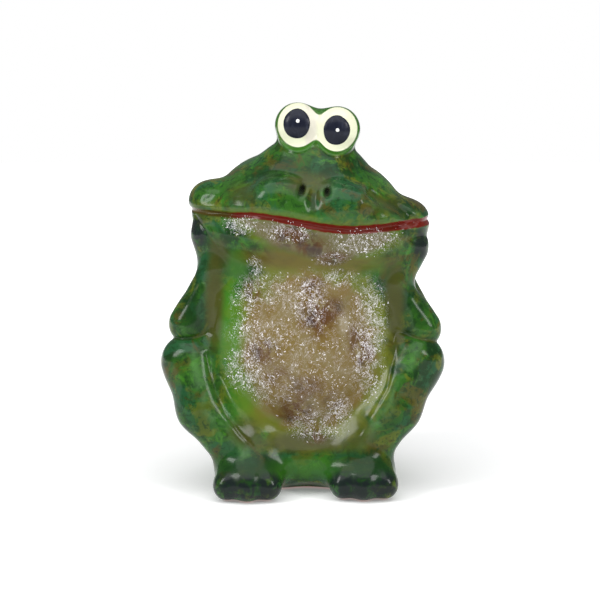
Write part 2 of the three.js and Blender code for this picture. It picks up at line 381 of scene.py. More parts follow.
    def leg(self, pose: Pose) -> Form:
        """Return one folded leg, from hip to toes."""
        hip = (pose.side * 26.0, 18.0, 32.0)
        knee_side = (pose.knee[0] - pose.side * 2, pose.knee[1] + 4, pose.knee[2] - 3)
        lower = pressed(
            5.0,
            Roll(pose.knee, pose.shin, self.knee_r, self.shin_r),
            Roll(pose.shin, pose.ankle, self.shin_r, self.shin_r),
        )
        ridge = pressed(
            4.0, *(Roll(a, b, 5.0, 5.0) for a, b in zip(pose.ridge[:-1], pose.ridge[1:]))
        )
        lower = pressed(5.0, lower, ridge)
        return pressed(6.0, lower, Roll(hip, knee_side, 14.0, self.knee_r), self.foot(pose))

    def arm(self, pose: Pose) -> Form:
        """Return one arm, from shoulder to the hand under the cheek."""
        shoulder = (pose.side * 32.0, 4.0, 98.0)
        bent = pressed(
            3.0,
            Roll(shoulder, pose.elbow, 10.0, self.elbow_r),
            Roll(pose.elbow, pose.wrist, self.elbow_r, self.wrist_r),
        )
        return pressed(5.0, bent, Roll(pose.wrist, pose.hand, self.wrist_r, self.hand_r))

    def mouth_height(self, across: np.ndarray) -> np.ndarray:
        """Return the height of the mouth line across the upright head."""
        x, z = zip(*self.mouth_line)
        fine = np.linspace(x[0], x[-1], 103)
        heights = np.interp(fine, x, z)
        kernel = np.hanning(17)
        padded = np.pad(heights, 8, mode="edge")
        heights = np.convolve(padded, kernel / kernel.sum(), mode="valid")
        return np.interp(across, fine, heights)

    def relief(self, head: np.ndarray, points: np.ndarray) -> np.ndarray:
        """Return how deep the modelling tool cuts, with raised lips and crests negative.

        Args:
            head: The points in the head's own axes.
            points: The same points in the figure's axes.

        Returns:
            The depth at each point, in millimetres.
        """
        x, y, z = head[..., 0], head[..., 1], head[..., 2]
        front = step(-y, -6.0, 2.0)
        above = z - self.mouth_height(x)
        depth = 0.9 * bell(above + 0.5, 1.3)
        depth = depth - 0.3 * bell(above - LIP_RISE, LIP_WIDTH) * step(50.0 - np.abs(x), 0.0, 10.0)
        depth = depth + 1.5 * bell(x - 0.9, 2.6) * bell(z - 126.0, 6.5)
        for centre in NOSTRILS:
            away = to_nostril(x, z, centre, 0.66)
            depth = depth + 2.3 * bell(away, 1.2) - 0.2 * bell(away - 3.0, 2.2)
        fold = to_path(x, z, ((24.0, 131.5), (33.0, 127.5), (44.0, 121.6)))
        depth = depth + 0.7 * bell(fold, 1.8) - 0.4 * bell(fold - 3.2, 1.8)
        fold = to_path(x, z, ((-24.0, 131.0), (-33.0, 127.0), (-44.0, 121.5)))
        depth = depth + 0.35 * bell(fold, 2.0)
        lid = np.hypot(x - np.where(x < 0, -8.6, 8.4), (z - 156.4) * 0.9) - 9.6
        depth = depth - 0.5 * bell(lid, 0.8) * step(-y, 14.0, 17.0)
        cut = depth * front
        ahead = step(-points[..., 1], 6.0, 12.0)
        px, pz = points[..., 0], points[..., 2]
        for crest in self.shin_crests:
            cut = cut - 0.35 * bell(to_path(px, pz, crest), 3.0) * ahead
        for line in self.tool_lines:
            cut = cut + 0.22 * bell(to_path(px, pz, line), 0.8) * ahead
        return cut

    def layers(self, points: np.ndarray) -> tuple[np.ndarray, np.ndarray]:
        """Measure the figure's outside and its coin hollow together.

        Args:
            points: Places in the figure's own axes, in millimetres.

        Returns:
            The distance from the glazed outside, and the distance from the hollow, which is
            negative in the air inside.
        """
        head = self.to_head(points)
        body = soft_min(self.torso(points), self.belly(points), 4.0)
        jaw, skull = self.jaw(head), self.skull(head)
        core = soft_min(soft_min(body, jaw, 5.0), skull, 5.0)
        skin = core.copy()
        near = core > 2.0 - self.wall
        at, at_head = points[near], head[near]
        whole = soft_min(body[near], jaw[near], 16.0)
        whole = soft_min(whole, self.padding(at), 5.0)
        whole = soft_min(whole, soft_min(skull[near], self.face(at_head), 5.0), 6.0)
        whole = soft_max(whole, -self.arch(at), 2.0)
        bent, folded = whole, whole
        for pose in self.poses:
            folded = soft_min(folded, self.leg(pose)(at), 10.0)
            bent = soft_min(bent, self.arm(pose)(at), 5.0)
        whole = soft_min(folded, bent, 0.8)
        close = np.abs(whole) < 4.0
        whole[close] += self.relief(at_head[close], at[close])
        skin[near] = whole
        return skin, core + self.wall

    def skin(self, points: np.ndarray) -> np.ndarray:
        """Return the distance from the glazed outside of the figure."""
        return self.layers(points)[0]


@dataclass(frozen=True)
class BaseFit:
    """Where the slab and its recess lie, in millimetres in the form's own axes."""

    centre: tuple[float, float]
    recess: tuple[float, float]
    top: float

    def column(self, points: np.ndarray) -> np.ndarray:
        """Return the distance from the straight recess that holds the slab."""
        x, y = points[..., 0] - self.centre[0], points[..., 1] - self.centre[1]
        return soft_max(to_oval(x, y, self.recess), points[..., 2] - self.top, 0.4)


@dataclass(frozen=True)
class ClayShell:
    """The hollow clay body: the skin without its hollow, recess and coin slot."""

    form: FrogForm
    base: BaseFit

    def slot(self, points: np.ndarray) -> np.ndarray:
        """Return the distance from the coin slot through the upper back."""
        length, height = self.form.slot_size
        across = np.abs(points[..., 0]) - length / 2 + 1.0
        up = np.abs(points[..., 2] - self.form.slot_height) - height / 2 + 1.0
        outside = np.hypot(np.maximum(across, 0.0), np.maximum(up, 0.0))
        edge = outside + np.minimum(np.maximum(across, up), 0.0) - 1.0
        return np.maximum(edge, 8.0 - points[..., 1])

    def __call__(self, points: np.ndarray) -> np.ndarray:
        """Return each point's distance from the clay's surface, negative in the clay."""
        skin, hollow = self.form.layers(points)
        hollow = soft_max(hollow, self.base.top - 0.5 - points[..., 2], 0.8)
        clay = soft_max(skin, -hollow, 0.8)
        clay = soft_max(clay, -self.base.column(points), 0.7)
        clay = soft_max(clay, -self.slot(points), 1.2)
        return soft_max(clay, -points[..., 2], 0.9)


class Half(Enum):
    """The two moulded halves of the shell."""

    FRONT = -1
    BACK = 1


@dataclass
class SkinNet:
    """Casts a distance field into a closed mesh of even quads.

    The grid has a plane of points on the seam, so that both halves end on it exactly.
    """

    clay: Form
    seam: float
    low: Vec3
    high: Vec3
    pitch: float
    block: int = 8
    batch: int = 400
    margin: float = 1.15
    reach: float = 0.02
    rounds: int = 2

    def __post_init__(self) -> None:
        """Place the grid and fill it near the surface."""
        low = np.array(self.low, float)
        low[1] = self.seam - self.pitch * math.ceil((self.seam - low[1]) / self.pitch)
        count = np.ceil((np.array(self.high) - low) / self.pitch / self.block).astype(int)
        self.origin = low
        self.cells = count * self.block
        self.seam_row = int(round((self.seam - low[1]) / self.pitch))
        self.values = self._sample()

    def _sample(self) -> np.ndarray:
        """Return the field on the grid: exact near the surface, only its sign elsewhere."""
        step_size = self.pitch * self.block
        counts = self.cells // self.block
        axes = [self.origin[i] + step_size * (np.arange(counts[i]) + 0.5) for i in range(3)]
        middles = np.stack(np.meshgrid(*axes, indexing="ij"), -1)
        coarse = self.clay(middles.reshape(-1, 3)).reshape(counts)
        values = np.where(coarse < 0, -1.0, 1.0).astype(np.float32)
        values = values.repeat(self.block, 0).repeat(self.block, 1).repeat(self.block, 2)
        values = np.pad(values, ((0, 1), (0, 1), (0, 1)), mode="edge")
        near = np.argwhere(np.abs(coarse) < step_size * self.margin)
        local = np.stack(np.meshgrid(*[np.arange(self.block + 1)] * 3, indexing="ij"), -1)
        local = local.reshape(-1, 3)
        for start in range(0, len(near), self.batch):
            nodes = near[start : start + self.batch, None, :] * self.block + local[None]
            nodes = nodes.reshape(-1, 3)
            found = self.clay(self.origin + nodes * self.pitch)
            values[nodes[:, 0], nodes[:, 1], nodes[:, 2]] = found
        return values

    def cast(self, half: Half) -> tuple[np.ndarray, np.ndarray]:
        """Cast one half of the shell.

        Args:
            half: Which side of the seam to keep.

        Returns:
            The vertices in millimetres and the quads as vertex numbers.
        """
        values = self.values.copy()
        if half is Half.FRONT:
            values[:, self.seam_row + 1 :] = 1.0
            cut_row = self.seam_row
        else:
            values[:, : self.seam_row] = 1.0
            cut_row = self.seam_row - 1
        inside = values < 0
        corners = [(i, j, k) for i in (0, 1) for j in (0, 1) for k in (0, 1)]
        nx, ny, nz = self.cells
        total = np.zeros((nx, ny, nz), np.uint8)
        for i, j, k in corners:
            total += inside[i : nx + i, j : ny + j, k : nz + k]
        active = np.argwhere((total > 0) & (total < 8))
        number = np.full((nx, ny, nz), -1, np.int32)
        number[tuple(active.T)] = np.arange(len(active))
        vertices = self._crossings(values, active, corners)
        vertices = self._settle(vertices, active[:, 1] == cut_row, half)
        return vertices, self._quads(inside, number)

    def _crossings(
        self, values: np.ndarray, active: np.ndarray, corners: Sequence[tuple[int, int, int]]
    ) -> np.ndarray:
        """Return each active cell's mean crossing point, in millimetres."""
        at = {c: values[tuple((active + np.array(c)).T)] for c in corners}
        total = np.zeros((len(active), 3))
        hits = np.zeros(len(active))
        for a in corners:
            for axis in range(3):
                if a[axis]:
                    continue
                b = tuple(1 if i == axis else a[i] for i in range(3))
                va, vb = at[a], at[b]
                crossed = (va < 0) != (vb < 0)
                t = np.where(crossed, va / np.where(crossed, va - vb, 1.0), 0.0)
                point = np.array(a, float) + t[:, None] * np.eye(3)[axis]
                total += point * crossed[:, None]
                hits += crossed
        return self.origin + (active + total / hits[:, None]) * self.pitch

    def _settle(self, vertices: np.ndarray, on_cut: np.ndarray, half: Half) -> np.ndarray:
        """Pull the vertices onto the exact surface, and the cut's onto the seam plane."""
        moved = vertices.copy()
        moved[on_cut, 1] = self.seam
        edge = on_cut & (np.abs(self.clay(moved)) < 0.75 * self.pitch)
        free = ~on_cut
        for _ in range(self.rounds):
            for group, axes in ((free, (0, 1, 2)), (edge, (0, 2))):
                points = moved[group]
                value = self.clay(points)
                slope = rises(self.clay, points, value, self.reach, axes) / self.reach
                size = np.maximum((slope**2).sum(-1), 0.2)
                shift = -(value / size)[:, None] * slope
                length = np.linalg.norm(shift, axis=-1, keepdims=True) + TINY
                moved[group] = points + shift * np.minimum(1.0, 0.4 * self.pitch / length)
        side = (moved[:, 1] - self.seam) * half.value
        moved[free & (side < 0), 1] = self.seam
        return moved

    @staticmethod
    def _quads(inside: np.ndarray, number: np.ndarray) -> np.ndarray:
        """Return the quads round every grid edge that crosses the surface."""
        quads = []
        for axis in range(3):
            b, c = (axis + 1) % 3, (axis + 2) % 3
            ahead = [slice(None)] * 3
            ahead[axis] = slice(1, None)
            behind = [slice(None)] * 3
            behind[axis] = slice(None, -1)
            first, second = inside[tuple(behind)], inside[tuple(ahead)]
            for sign in (True, False):
                edge = np.argwhere((first & ~second) if sign else (~first & second))
                inner = (edge[:, b] > 0) & (edge[:, c] > 0)
                inner &= (edge[:, b] < number.shape[b]) & (edge[:, c] < number.shape[c])
                edge = edge[inner]
                ring = []
                for db, dc in ((-1, -1), (0, -1), (0, 0), (-1, 0)):
                    cell = edge.copy()
                    cell[:, b] += db
                    cell[:, c] += dc
                    ring.append(number[tuple(cell.T)])
                quad = np.stack(ring if sign else ring[::-1], -1)
                quads.append(quad)
        return np.concatenate(quads)


# ---------------------------------------------------------------- paint zones


@dataclass(frozen=True)
class Print:
    """One soft-edged sponge print on the front, in millimetres."""

    across: float
    up: float
    half_width: float
    half_height: float
    strength: float


def printed(across: np.ndarray, up: np.ndarray, prints: Iterable[Print]) -> np.ndarray:
    """Return how strongly the sponge prints cover each place, from 0 to 1."""
    bare = np.ones(across.shape)
    for dab in prints:
        away = np.hypot((across - dab.across) / dab.half_width, (up - dab.up) / dab.half_height)
        bare = bare * (1.0 - dab.strength * step(-away, -1.25, -0.35))
    return 1.0 - bare


@dataclass(frozen=True)
class PaintPlan:
    """Where each glaze and paint colour lies on the figure."""

    form: FrogForm
    eye_centres: tuple[tuple[float, float], ...] = ((-8.5, 156.4), (8.3, 156.2))
    eye_size: tuple[float, float] = (8.4, 9.0)
    white_prints: tuple[Print, ...] = (
        Print(-25.0, 54.5, 9.0, 11.0, 1.0),
        Print(-15.0, 46.0, 9.0, 9.0, 0.6),
        Print(5.0, 30.5, 13.5, 7.5, 0.85),
        Print(15.5, 37.5, 6.0, 7.0, 0.8),
        Print(-20.5, 98.0, 3.5, 5.5, 0.95),
        Print(-24.5, 82.0, 7.0, 12.0, 0.75),
        Print(-13.0, 88.0, 12.0, 9.0, 0.55),
        Print(2.0, 85.0, 8.0, 13.0, 0.8),
        Print(14.0, 93.5, 9.0, 5.0, 0.85),
        Print(27.5, 76.0, 8.5, 18.0, 0.95),
        Print(27.0, 55.0, 7.5, 15.0, 0.85),
        Print(-20.0, 70.0, 14.0, 7.0, 0.7),
        Print(3.0, 64.0, 25.0, 30.0, 0.34),
        Print(-26.5, 117.0, 8.5, 5.0, 0.85),
        Print(-7.0, 114.5, 12.0, 5.0, 0.7),
        Print(25.0, 110.5, 16.0, 7.0, 0.7),
        Print(11.0, 103.0, 8.0, 3.5, 0.5),
    )
    bruise_prints: tuple[Print, ...] = (
        Print(-4.5, 112.5, 10.0, 6.0, 1.0),
        Print(3.0, 108.0, 8.0, 5.0, 0.95),
        Print(11.5, 103.0, 8.5, 3.8, 0.85),
        Print(3.5, 91.0, 6.0, 5.0, 0.8),
        Print(6.0, 78.5, 9.5, 10.0, 1.0),
        Print(13.0, 81.5, 6.0, 5.0, 0.7),
        Print(22.0, 68.0, 5.0, 7.0, 0.85),
        Print(25.0, 61.0, 5.5, 6.0, 1.0),
        Print(-17.0, 63.0, 7.5, 6.5, 0.9),
        Print(-11.0, 53.0, 7.0, 6.0, 0.6),
        Print(-22.0, 88.0, 4.5, 6.5, 0.9),
        Print(1.0, 48.5, 9.0, 6.0, 0.7),
        Print(-4.0, 37.0, 9.0, 9.0, 0.9),
        Print(12.0, 42.0, 7.0, 6.0, 0.5),
        Print(4.5, 25.5, 6.0, 4.0, 0.9),
    )
    leaf_prints: tuple[Print, ...] = (
        Print(-31.5, 72.0, 6.5, 24.0, 1.0),
        Print(-27.0, 44.0, 8.0, 14.0, 0.7),
        Print(-28.0, 99.0, 6.0, 9.0, 0.7),
        Print(29.0, 99.0, 7.0, 7.0, 0.5),
        Print(0.0, 12.0, 26.0, 6.0, 0.6),
        Print(-6.0, 120.0, 30.0, 3.5, 0.4),
    )
    # Olive sponge prints: olive bands beside the belly, at the left shoulder, the ankles and the
    # nose, and painted shade in the crease under the belly and in the cheek folds.
    olive_prints: tuple[Print, ...] = (
        Print(-38.0, 82.0, 4.5, 21.0, 1.0),
        Print(38.5, 82.0, 4.5, 22.0, 0.9),
        Print(-36.0, 103.0, 5.0, 8.0, 0.7),
        Print(1.0, 23.0, 23.0, 4.5, 1.0),
        Print(-25.0, 28.0, 8.0, 7.0, 0.6),
        Print(24.0, 27.0, 8.0, 7.0, 0.6),
        Print(2.0, 134.0, 10.0, 4.5, 0.6),
        Print(-26.0, 129.0, 7.0, 5.0, 0.4),
        Print(34.0, 124.0, 8.0, 4.0, 0.4),
    )
    # Painted shade: deep green laid over the feet, both upper arms, the left cheek, the brow and
    # both shins.
    painted_shade_prints: tuple[Print, ...] = (
        Print(-25.0, 12.0, 17.0, 10.0, 0.85),
        Print(26.0, 12.0, 17.0, 10.0, 0.9),
        Print(47.0, 83.0, 7.0, 9.0, 0.5),
        Print(-48.0, 78.0, 6.0, 8.0, 0.6),
        Print(-46.0, 120.0, 8.0, 6.0, 0.5),
        Print(-10.0, 138.0, 20.0, 6.0, 0.35),
        Print(36.0, 38.0, 6.0, 12.0, 0.5),
        Print(-42.0, 36.0, 6.0, 10.0, 0.4),
    )
    band_prints: tuple[Print, ...] = (
        Print(-6.0, 102.5, 24.0, 5.5, 1.0),
        Print(18.0, 99.5, 18.0, 5.0, 0.8),
    )
    tip_reach: float = 6.5

    def nearness(self, points: np.ndarray, marks: Iterable[Vec3]) -> np.ndarray:
        """Return a soft mask round the marks, from 0 to 1."""
        best = np.full(points.shape[0], FAR_OFF)
        for mark in marks:
            best = np.minimum(best, np.linalg.norm(points - np.array(mark), axis=-1))
        return step(-best, -self.tip_reach - 2.5, -self.tip_reach + 1.5)

    def tips(self) -> list[Vec3]:
        """Return the ends of the toes and the fingers."""
        marks: list[Vec3] = []
        for pose in self.form.poses:
            x, y, z = pose.foot
            for i in (-1, 0, 1):
                marks.append((x + i * 9.0, y - 17.0 + abs(i) * 2.2, z - 3.5))
            hx, hy, hz = pose.hand
            marks.append((hx + pose.side * 6.5, hy - 5.0, hz + 2.0))
        return marks

    def nostrils(self, across: np.ndarray, up: np.ndarray) -> np.ndarray:
        """Return the dark of the two nostrils, on the upright head."""
        dark = np.zeros(across.shape)
        for centre in NOSTRILS:
            dark = np.maximum(dark, bell(to_nostril(across, up, centre, 0.6), 1.5))
        return dark

    def lay(self, points: np.ndarray) -> dict[str, np.ndarray]:
        """Work out every paint mask at the given points.

        Args:
            points: Places on the figure's surface, in its own axes, in millimetres.

        Returns:
            A value per point for each mask, by the mask's name.
        """
        form = self.form
        head = form.to_head(points)
        x, y, z = points[:, 0], points[:, 1], points[:, 2]
        hx, hz = head[:, 0], head[:, 2]
        front = step(-y, -2.0, 7.0)
        ahead = step(-y, 12.0, 18.0)
        above = hz - form.mouth_height(hx)
        lip = np.where(y < 1.0, above, 40.0)
        eyes = np.full(x.shape, FAR_OFF)
        for ex, ez in self.eye_centres:
            eyes = soft_min(eyes, to_oval(hx - ex, hz - ez, self.eye_size), 5.0)
        eyes = np.where((y < -8.0) & (hz > 140.0), eyes, 30.0)
        oval = np.hypot((x - 2.0) / 36.0, (z - 62.5) / 43.0)
        belly = (oval - 1.0) * 36.0 + (1.0 - ahead) * 30.0
        throat_low = 101.0 + 0.011 * (x - 12.0) ** 2
        throat = np.maximum(throat_low - z, above + 0.5)
        throat = np.maximum(throat, np.abs(x - 1.0) - 37.0) + (1.0 - ahead) * 30.0
        crests = np.full(x.shape, FAR_OFF)
        for crest in form.shin_crests:
            crests = np.minimum(crests, to_path(x, z, crest))
        lips = bell(above - LIP_RISE, LIP_WIDTH) * step(50.0 - np.abs(hx), 0.0, 8.0) * ahead
        below = step(-lip, -0.5, 2.0)
        skin = form.skin(points)
        reach = 1.5
        total = -6.0 * skin
        for axis in range(3):
            for sign in (-1.0, 1.0):
                moved = points.copy()
                moved[:, axis] += sign * reach
                total += form.skin(moved)
        bend = total / (reach * reach)
        outside = skin > -1.4
        return {
            "lip": lip,
            "eye": eyes,
            "belly": belly,
            "throat": throat,
            "dabs": printed(x, z, self.white_prints) * ahead * below,
            "bruise": printed(x, z, self.bruise_prints) * ahead * below,
            "leaf": printed(x, z, self.leaf_prints) * ahead,
            # olive paint, and painted shade in the crease under the belly and the cheek folds
            "olive": printed(x, z, self.olive_prints) * front,
            # painted shade
            "shade": printed(x, z, self.painted_shade_prints) * front,
            "band": printed(x, z, self.band_prints) * ahead * step(-lip, -1.0, 3.0),
            "tips": self.nearness(points, self.tips()),
            "nostril": self.nostrils(hx, hz) * front,
            # painted highlight along the shin crests and the upper lip
            "crest": np.maximum(0.8 * bell(crests, 2.4) * ahead, 0.15 * lips),
            # painted shade where the surface bends inwards
            "cavity": step(-bend, 0.05, 0.5) * outside,
            # painted highlight where the surface bends outwards
            "edge": step(bend, 0.16, 0.5) * outside,
            "bare": np.maximum(step(-skin, 1.2, 2.0), step(-z, -0.4, -0.15)),
        }


# ---------------------------------------------------------------- shader writing


class Wire:
    """A number carried by a shader socket; arithmetic on it adds Math nodes."""

    def __init__(self, kit: "Kit", socket: bpy.types.NodeSocket) -> None:
        """Wrap one output socket."""
        self.kit = kit
        self.socket = socket

    def _math(self, operation: str, *values: "float | Wire") -> "Wire":
        """Return the result of a Math node on the values."""
        sockets = dict(enumerate(values))
        return self.kit.number("ShaderNodeMath", {"operation": operation}, sockets)

    def __add__(self, other: "float | Wire") -> "Wire":
        """Return the sum."""
        return self._math("ADD", self, other)

    __radd__ = __add__

    def __sub__(self, other: "float | Wire") -> "Wire":
        """Return the difference."""
        return self._math("SUBTRACT", self, other)

    def __rsub__(self, other: "float | Wire") -> "Wire":
        """Return the difference the other way round."""
        return self._math("SUBTRACT", other, self)

    def __mul__(self, other: "float | Wire") -> "Wire":
        """Return the product."""
        return self._math("MULTIPLY", self, other)

    def __abs__(self) -> "Wire":
        """Return the size of the number."""
        return self._math("ABSOLUTE", self)

    def most(self, other: "float | Wire") -> "Wire":
        """Return the larger of the two."""
        return self._math("MAXIMUM", self, other)

    def clear(self, low: float, high: float) -> "Wire":
        """Return 0 at low, 1 at high and a smooth, held rise between them."""
        settings = {"interpolation_type": "SMOOTHSTEP"}
        flip = low > high
        ends = {"Value": self, "From Min": high if flip else low, "From Max": low if flip else high}
        ends.update({"To Min": 1.0 if flip else 0.0, "To Max": 0.0 if flip else 1.0})
        return self.kit.number("ShaderNodeMapRange", settings, ends)


def put(tree: bpy.types.NodeTree, socket: bpy.types.NodeSocket, value: object) -> None:
    """Set a socket to a constant, or link it to a wire or another socket."""
    if isinstance(value, Wire):
        tree.links.new(value.socket, socket)
    elif isinstance(value, bpy.types.NodeSocket):
        tree.links.new(value, socket)
    elif isinstance(value, tuple) and len(value) == 3 and socket.type == "RGBA":
        socket.default_value = (*value, 1.0)
    else:
        socket.default_value = value


def add_node(
    tree: bpy.types.NodeTree,
    kind: str,
    settings: dict[str, object] | None = None,
    values: dict | None = None,
) -> bpy.types.Node:
    """Add a node to a tree.

    Args:
        tree: The tree to write in.
        kind: The node's type.
        settings: Its options, which are set first.
        values: A number, colour, wire or socket for each input, by name or number.

    Returns:
        The new node.
    """
    made = tree.nodes.new(kind)
    for key, value in (settings or {}).items():
        setattr(made, key, value)
    for key, value in (values or {}).items():
        put(tree, made.inputs[key], value)
    return made


def paint(red: int, green: int, blue: int) -> Colour:
    """Return a screen colour as linear light."""
    parts = []
    for value in (red, green, blue):
        share = value / 255.0
        parts.append(share / 12.92 if share <= 0.04045 else ((share + 0.055) / 1.055) ** 2.4)
    return (parts[0], parts[1], parts[2])


class Kit:
    """Writes one material's node tree."""

    def __init__(self, name: str) -> None:
        """Start a material with its surface shader and its coordinates in millimetres."""
        self.material = bpy.data.materials.new(name)
        self.material.use_nodes = True
        self.tree = self.material.node_tree
        self.tree.nodes.clear()
        self.node = partial(add_node, self.tree)
        self.surface = self.node("ShaderNodeBsdfPrincipled")
        output = self.node("ShaderNodeOutputMaterial")
        self.tree.links.new(self.surface.outputs[0], output.inputs["Surface"])
        place = self.node("ShaderNodeTexCoord").outputs["Object"]
        scaled = self.node(
            "ShaderNodeVectorMath", {"operation": "SCALE"}, {"Vector": place, "Scale": 1000.0}
        )
        self.place = scaled.outputs["Vector"]

    def number(self, kind: str, settings: dict[str, object], values: dict) -> Wire:
        """Add a node and return its first number."""
        made = self.node(kind, settings, values)
        return Wire(self, made.outputs[0])

    def mask(self, name: str) -> Wire:
        """Return one of the mesh's own masks."""
        made = self.node("ShaderNodeAttribute", {"attribute_name": name})
        return Wire(self, made.outputs["Fac"])

    def noise(
        self,
        grain: float,
        detail: float = 3.0,
        roughness: float = 0.55,
        warp: float = 0.0,
        shift: Vec3 = (0.0, 0.0, 0.0),
        stretch: Vec3 = (1.0, 1.0, 1.0),
    ) -> Wire:
        """Return cloudy noise whose blotches are about the grain's size, in millimetres."""
        values = {"Vector": self.place, "Location": shift, "Scale": stretch}
        place = self.node("ShaderNodeMapping", {}, values)
        values = {
            "Vector": place.outputs[0],
            "Scale": 1.0 / grain,
            "Detail": detail,
            "Roughness": roughness,
            "Distortion": warp,
        }
        return self.number("ShaderNodeTexNoise", {}, values)

    def mix(self, under: object, over: object, share: "float | Wire") -> bpy.types.NodeSocket:
        """Return one colour laid over another."""
        made = self.node("ShaderNodeMix", {"data_type": "RGBA"}, {0: share, 6: under, 7: over})
        return made.outputs[2]

    def relief(self, height: Wire, depth_mm: float, strength: float = 1.0) -> None:
        """Raise the surface's shading by the height times the depth."""
        values = {"Height": height, "Distance": depth_mm * MM, "Strength": strength}
        bump = self.node("ShaderNodeBump", {}, values)
        self.tree.links.new(bump.outputs["Normal"], self.surface.inputs["Normal"])

    def finish(self, **values: object) -> bpy.types.Material:
        """Set the surface shader's sockets, whose names have _ for a space.

        Returns:
            The finished material.
        """
        for key, value in values.items():
            name = key.replace("_", " ").title().replace("Ior", "IOR")
            put(self.tree, self.surface.inputs[name], value)
        return self.material


# ---------------------------------------------------------------- finishes


@dataclass(frozen=True)
class FrogGlaze:
    """The frog's mottled green glaze, its painted belly and face, and the bare clay inside."""

    # Deep green: sponged paint, and also painted shade on the feet and in the hollows.
    deep: Colour = paint(20, 50, 18)
    mid: Colour = paint(44, 88, 26)
    sea: Colour = paint(32, 78, 46)
    moss: Colour = paint(92, 100, 24)
    bark: Colour = paint(72, 62, 20)
    # Olive: the paint of the bands, and painted shade in creases and hollows.
    olive: Colour = paint(66, 68, 24)
    band: Colour = paint(100, 86, 38)
    ink: Colour = paint(24, 30, 32)
    leaf: Colour = paint(62, 118, 30)
    border: Colour = paint(100, 108, 34)
    tan: Colour = paint(124, 108, 74)
    ochre: Colour = paint(116, 94, 50)
    lilac: Colour = paint(102, 94, 68)
    bruise: Colour = paint(78, 44, 22)
    plum: Colour = paint(54, 34, 38)
    frost: Colour = paint(226, 222, 228)
    # Pale green: sponged lighter mottling, and painted highlights on the crests and convex edges.
    pale: Colour = paint(104, 146, 92)
    red: Colour = paint(100, 24, 14)
    cream: Colour = paint(226, 228, 198)
    clay: Colour = paint(168, 98, 66)

    def greens(self, kit: Kit) -> bpy.types.NodeSocket:
        """Return the sponged greens that cover the whole figure."""
        broad = kit.noise(22.0, 4.0, 0.6, 0.4)
        colour = kit.mix(self.deep, self.mid, broad.clear(0.42, 0.56))
        sea = kit.noise(17.0, 4.0, 0.6, 0.8, (31.0, 7.0, 3.0))
        colour = kit.mix(colour, self.sea, sea.clear(0.50, 0.60) * 0.8)
        bright = kit.noise(11.0, 4.0, 0.65, 1.0, (61.0, 23.0, 8.0))
        colour = kit.mix(colour, self.leaf, bright.clear(0.54, 0.66) * 0.6)
        moss = kit.noise(12.0, 3.0, 0.6, 0.5, (5.0, 43.0, 17.0))
        colour = kit.mix(colour, self.moss, moss.clear(0.53, 0.64) * 0.75)
        bark = kit.noise(14.0, 4.0, 0.62, 0.6, (71.0, 13.0, 29.0))
        colour = kit.mix(colour, self.bark, bark.clear(0.54, 0.64) * 0.75)
        fine = kit.noise(3.4, 4.0, 0.7, 0.8, (2.0, 3.0, 5.0))
        colour = kit.mix(colour, self.deep, fine.clear(0.50, 0.62) * 0.7)
        spots = kit.noise(1.7, 3.0, 0.7, 0.6, (8.0, 1.0, 6.0))
        colour = kit.mix(colour, self.ink, spots.clear(0.60, 0.70) * bark.clear(0.40, 0.55) * 0.7)
        light = kit.noise(4.0, 4.0, 0.65, 0.6, (12.0, 8.0, 1.0))
        return kit.mix(colour, self.pale, light.clear(0.58, 0.74) * 0.22)

    def shaded(self, kit: Kit, colour: bpy.types.NodeSocket) -> bpy.types.NodeSocket:
        """Lay on olive bands and green patches, painted shade on the feet and in the hollows,
        painted highlights on crests.
        """
        cloud = kit.noise(9.0, 3.0, 0.6, 0.6, (3.0, 91.0, 7.0))
        # Olive paint on the bands, and painted shade in the crease under the belly and the cheek
        # folds.
        olive = kit.mask("olive") * cloud.clear(0.30, 0.52)
        colour = kit.mix(colour, self.olive, olive * 0.8)
        colour = kit.mix(colour, self.leaf, kit.mask("leaf") * 0.85)
        # Painted shade: deep green over the feet, the upper arms, the left cheek, the brow and the
        # shins.
        colour = kit.mix(colour, self.deep, kit.mask("shade") * cloud.clear(0.15, 0.42))
        # Painted shade: olive and deep green where the surface bends inwards, in hollows and
        # creases.
        colour = kit.mix(colour, self.olive, kit.mask("cavity") * cloud.clear(0.25, 0.6) * 0.7)
        colour = kit.mix(colour, self.deep, kit.mask("cavity") * cloud.clear(0.6, 0.4) * 0.7)
        # Painted highlight: pale green along the shin crests and the upper lip.
        colour = kit.mix(colour, self.pale, kit.mask("crest") * cloud.clear(0.35, 0.6) * 0.42)
        # Painted highlight: a faint pale green on every convex edge.
        return kit.mix(colour, self.pale, kit.mask("edge") * 0.14)

    def painted(self, kit: Kit, colour: bpy.types.NodeSocket) -> bpy.types.NodeSocket:
        """Lay on the belly, the throat and their sponged blotches."""
        cloud = kit.noise(8.0, 4.0, 0.6, 0.5, (17.0, 2.0, 51.0))
        wander = (cloud - 0.5) * 16.0
        belly = kit.mask("belly") + wander
        edged = kit.mix(colour, self.border, belly.clear(2.0, -3.5) * 0.92)
        leaf = kit.mask("leaf")
        edged = kit.mix(edged, self.leaf, leaf * belly.clear(2.0, -3.5) * 0.8)
        warm = kit.mix(self.ochre, self.tan, cloud.clear(0.36, 0.62))
        inside = belly.clear(-3.0, -12.0) * (1.0 - leaf * 0.7)
        edged = kit.mix(edged, warm, inside * 0.9)
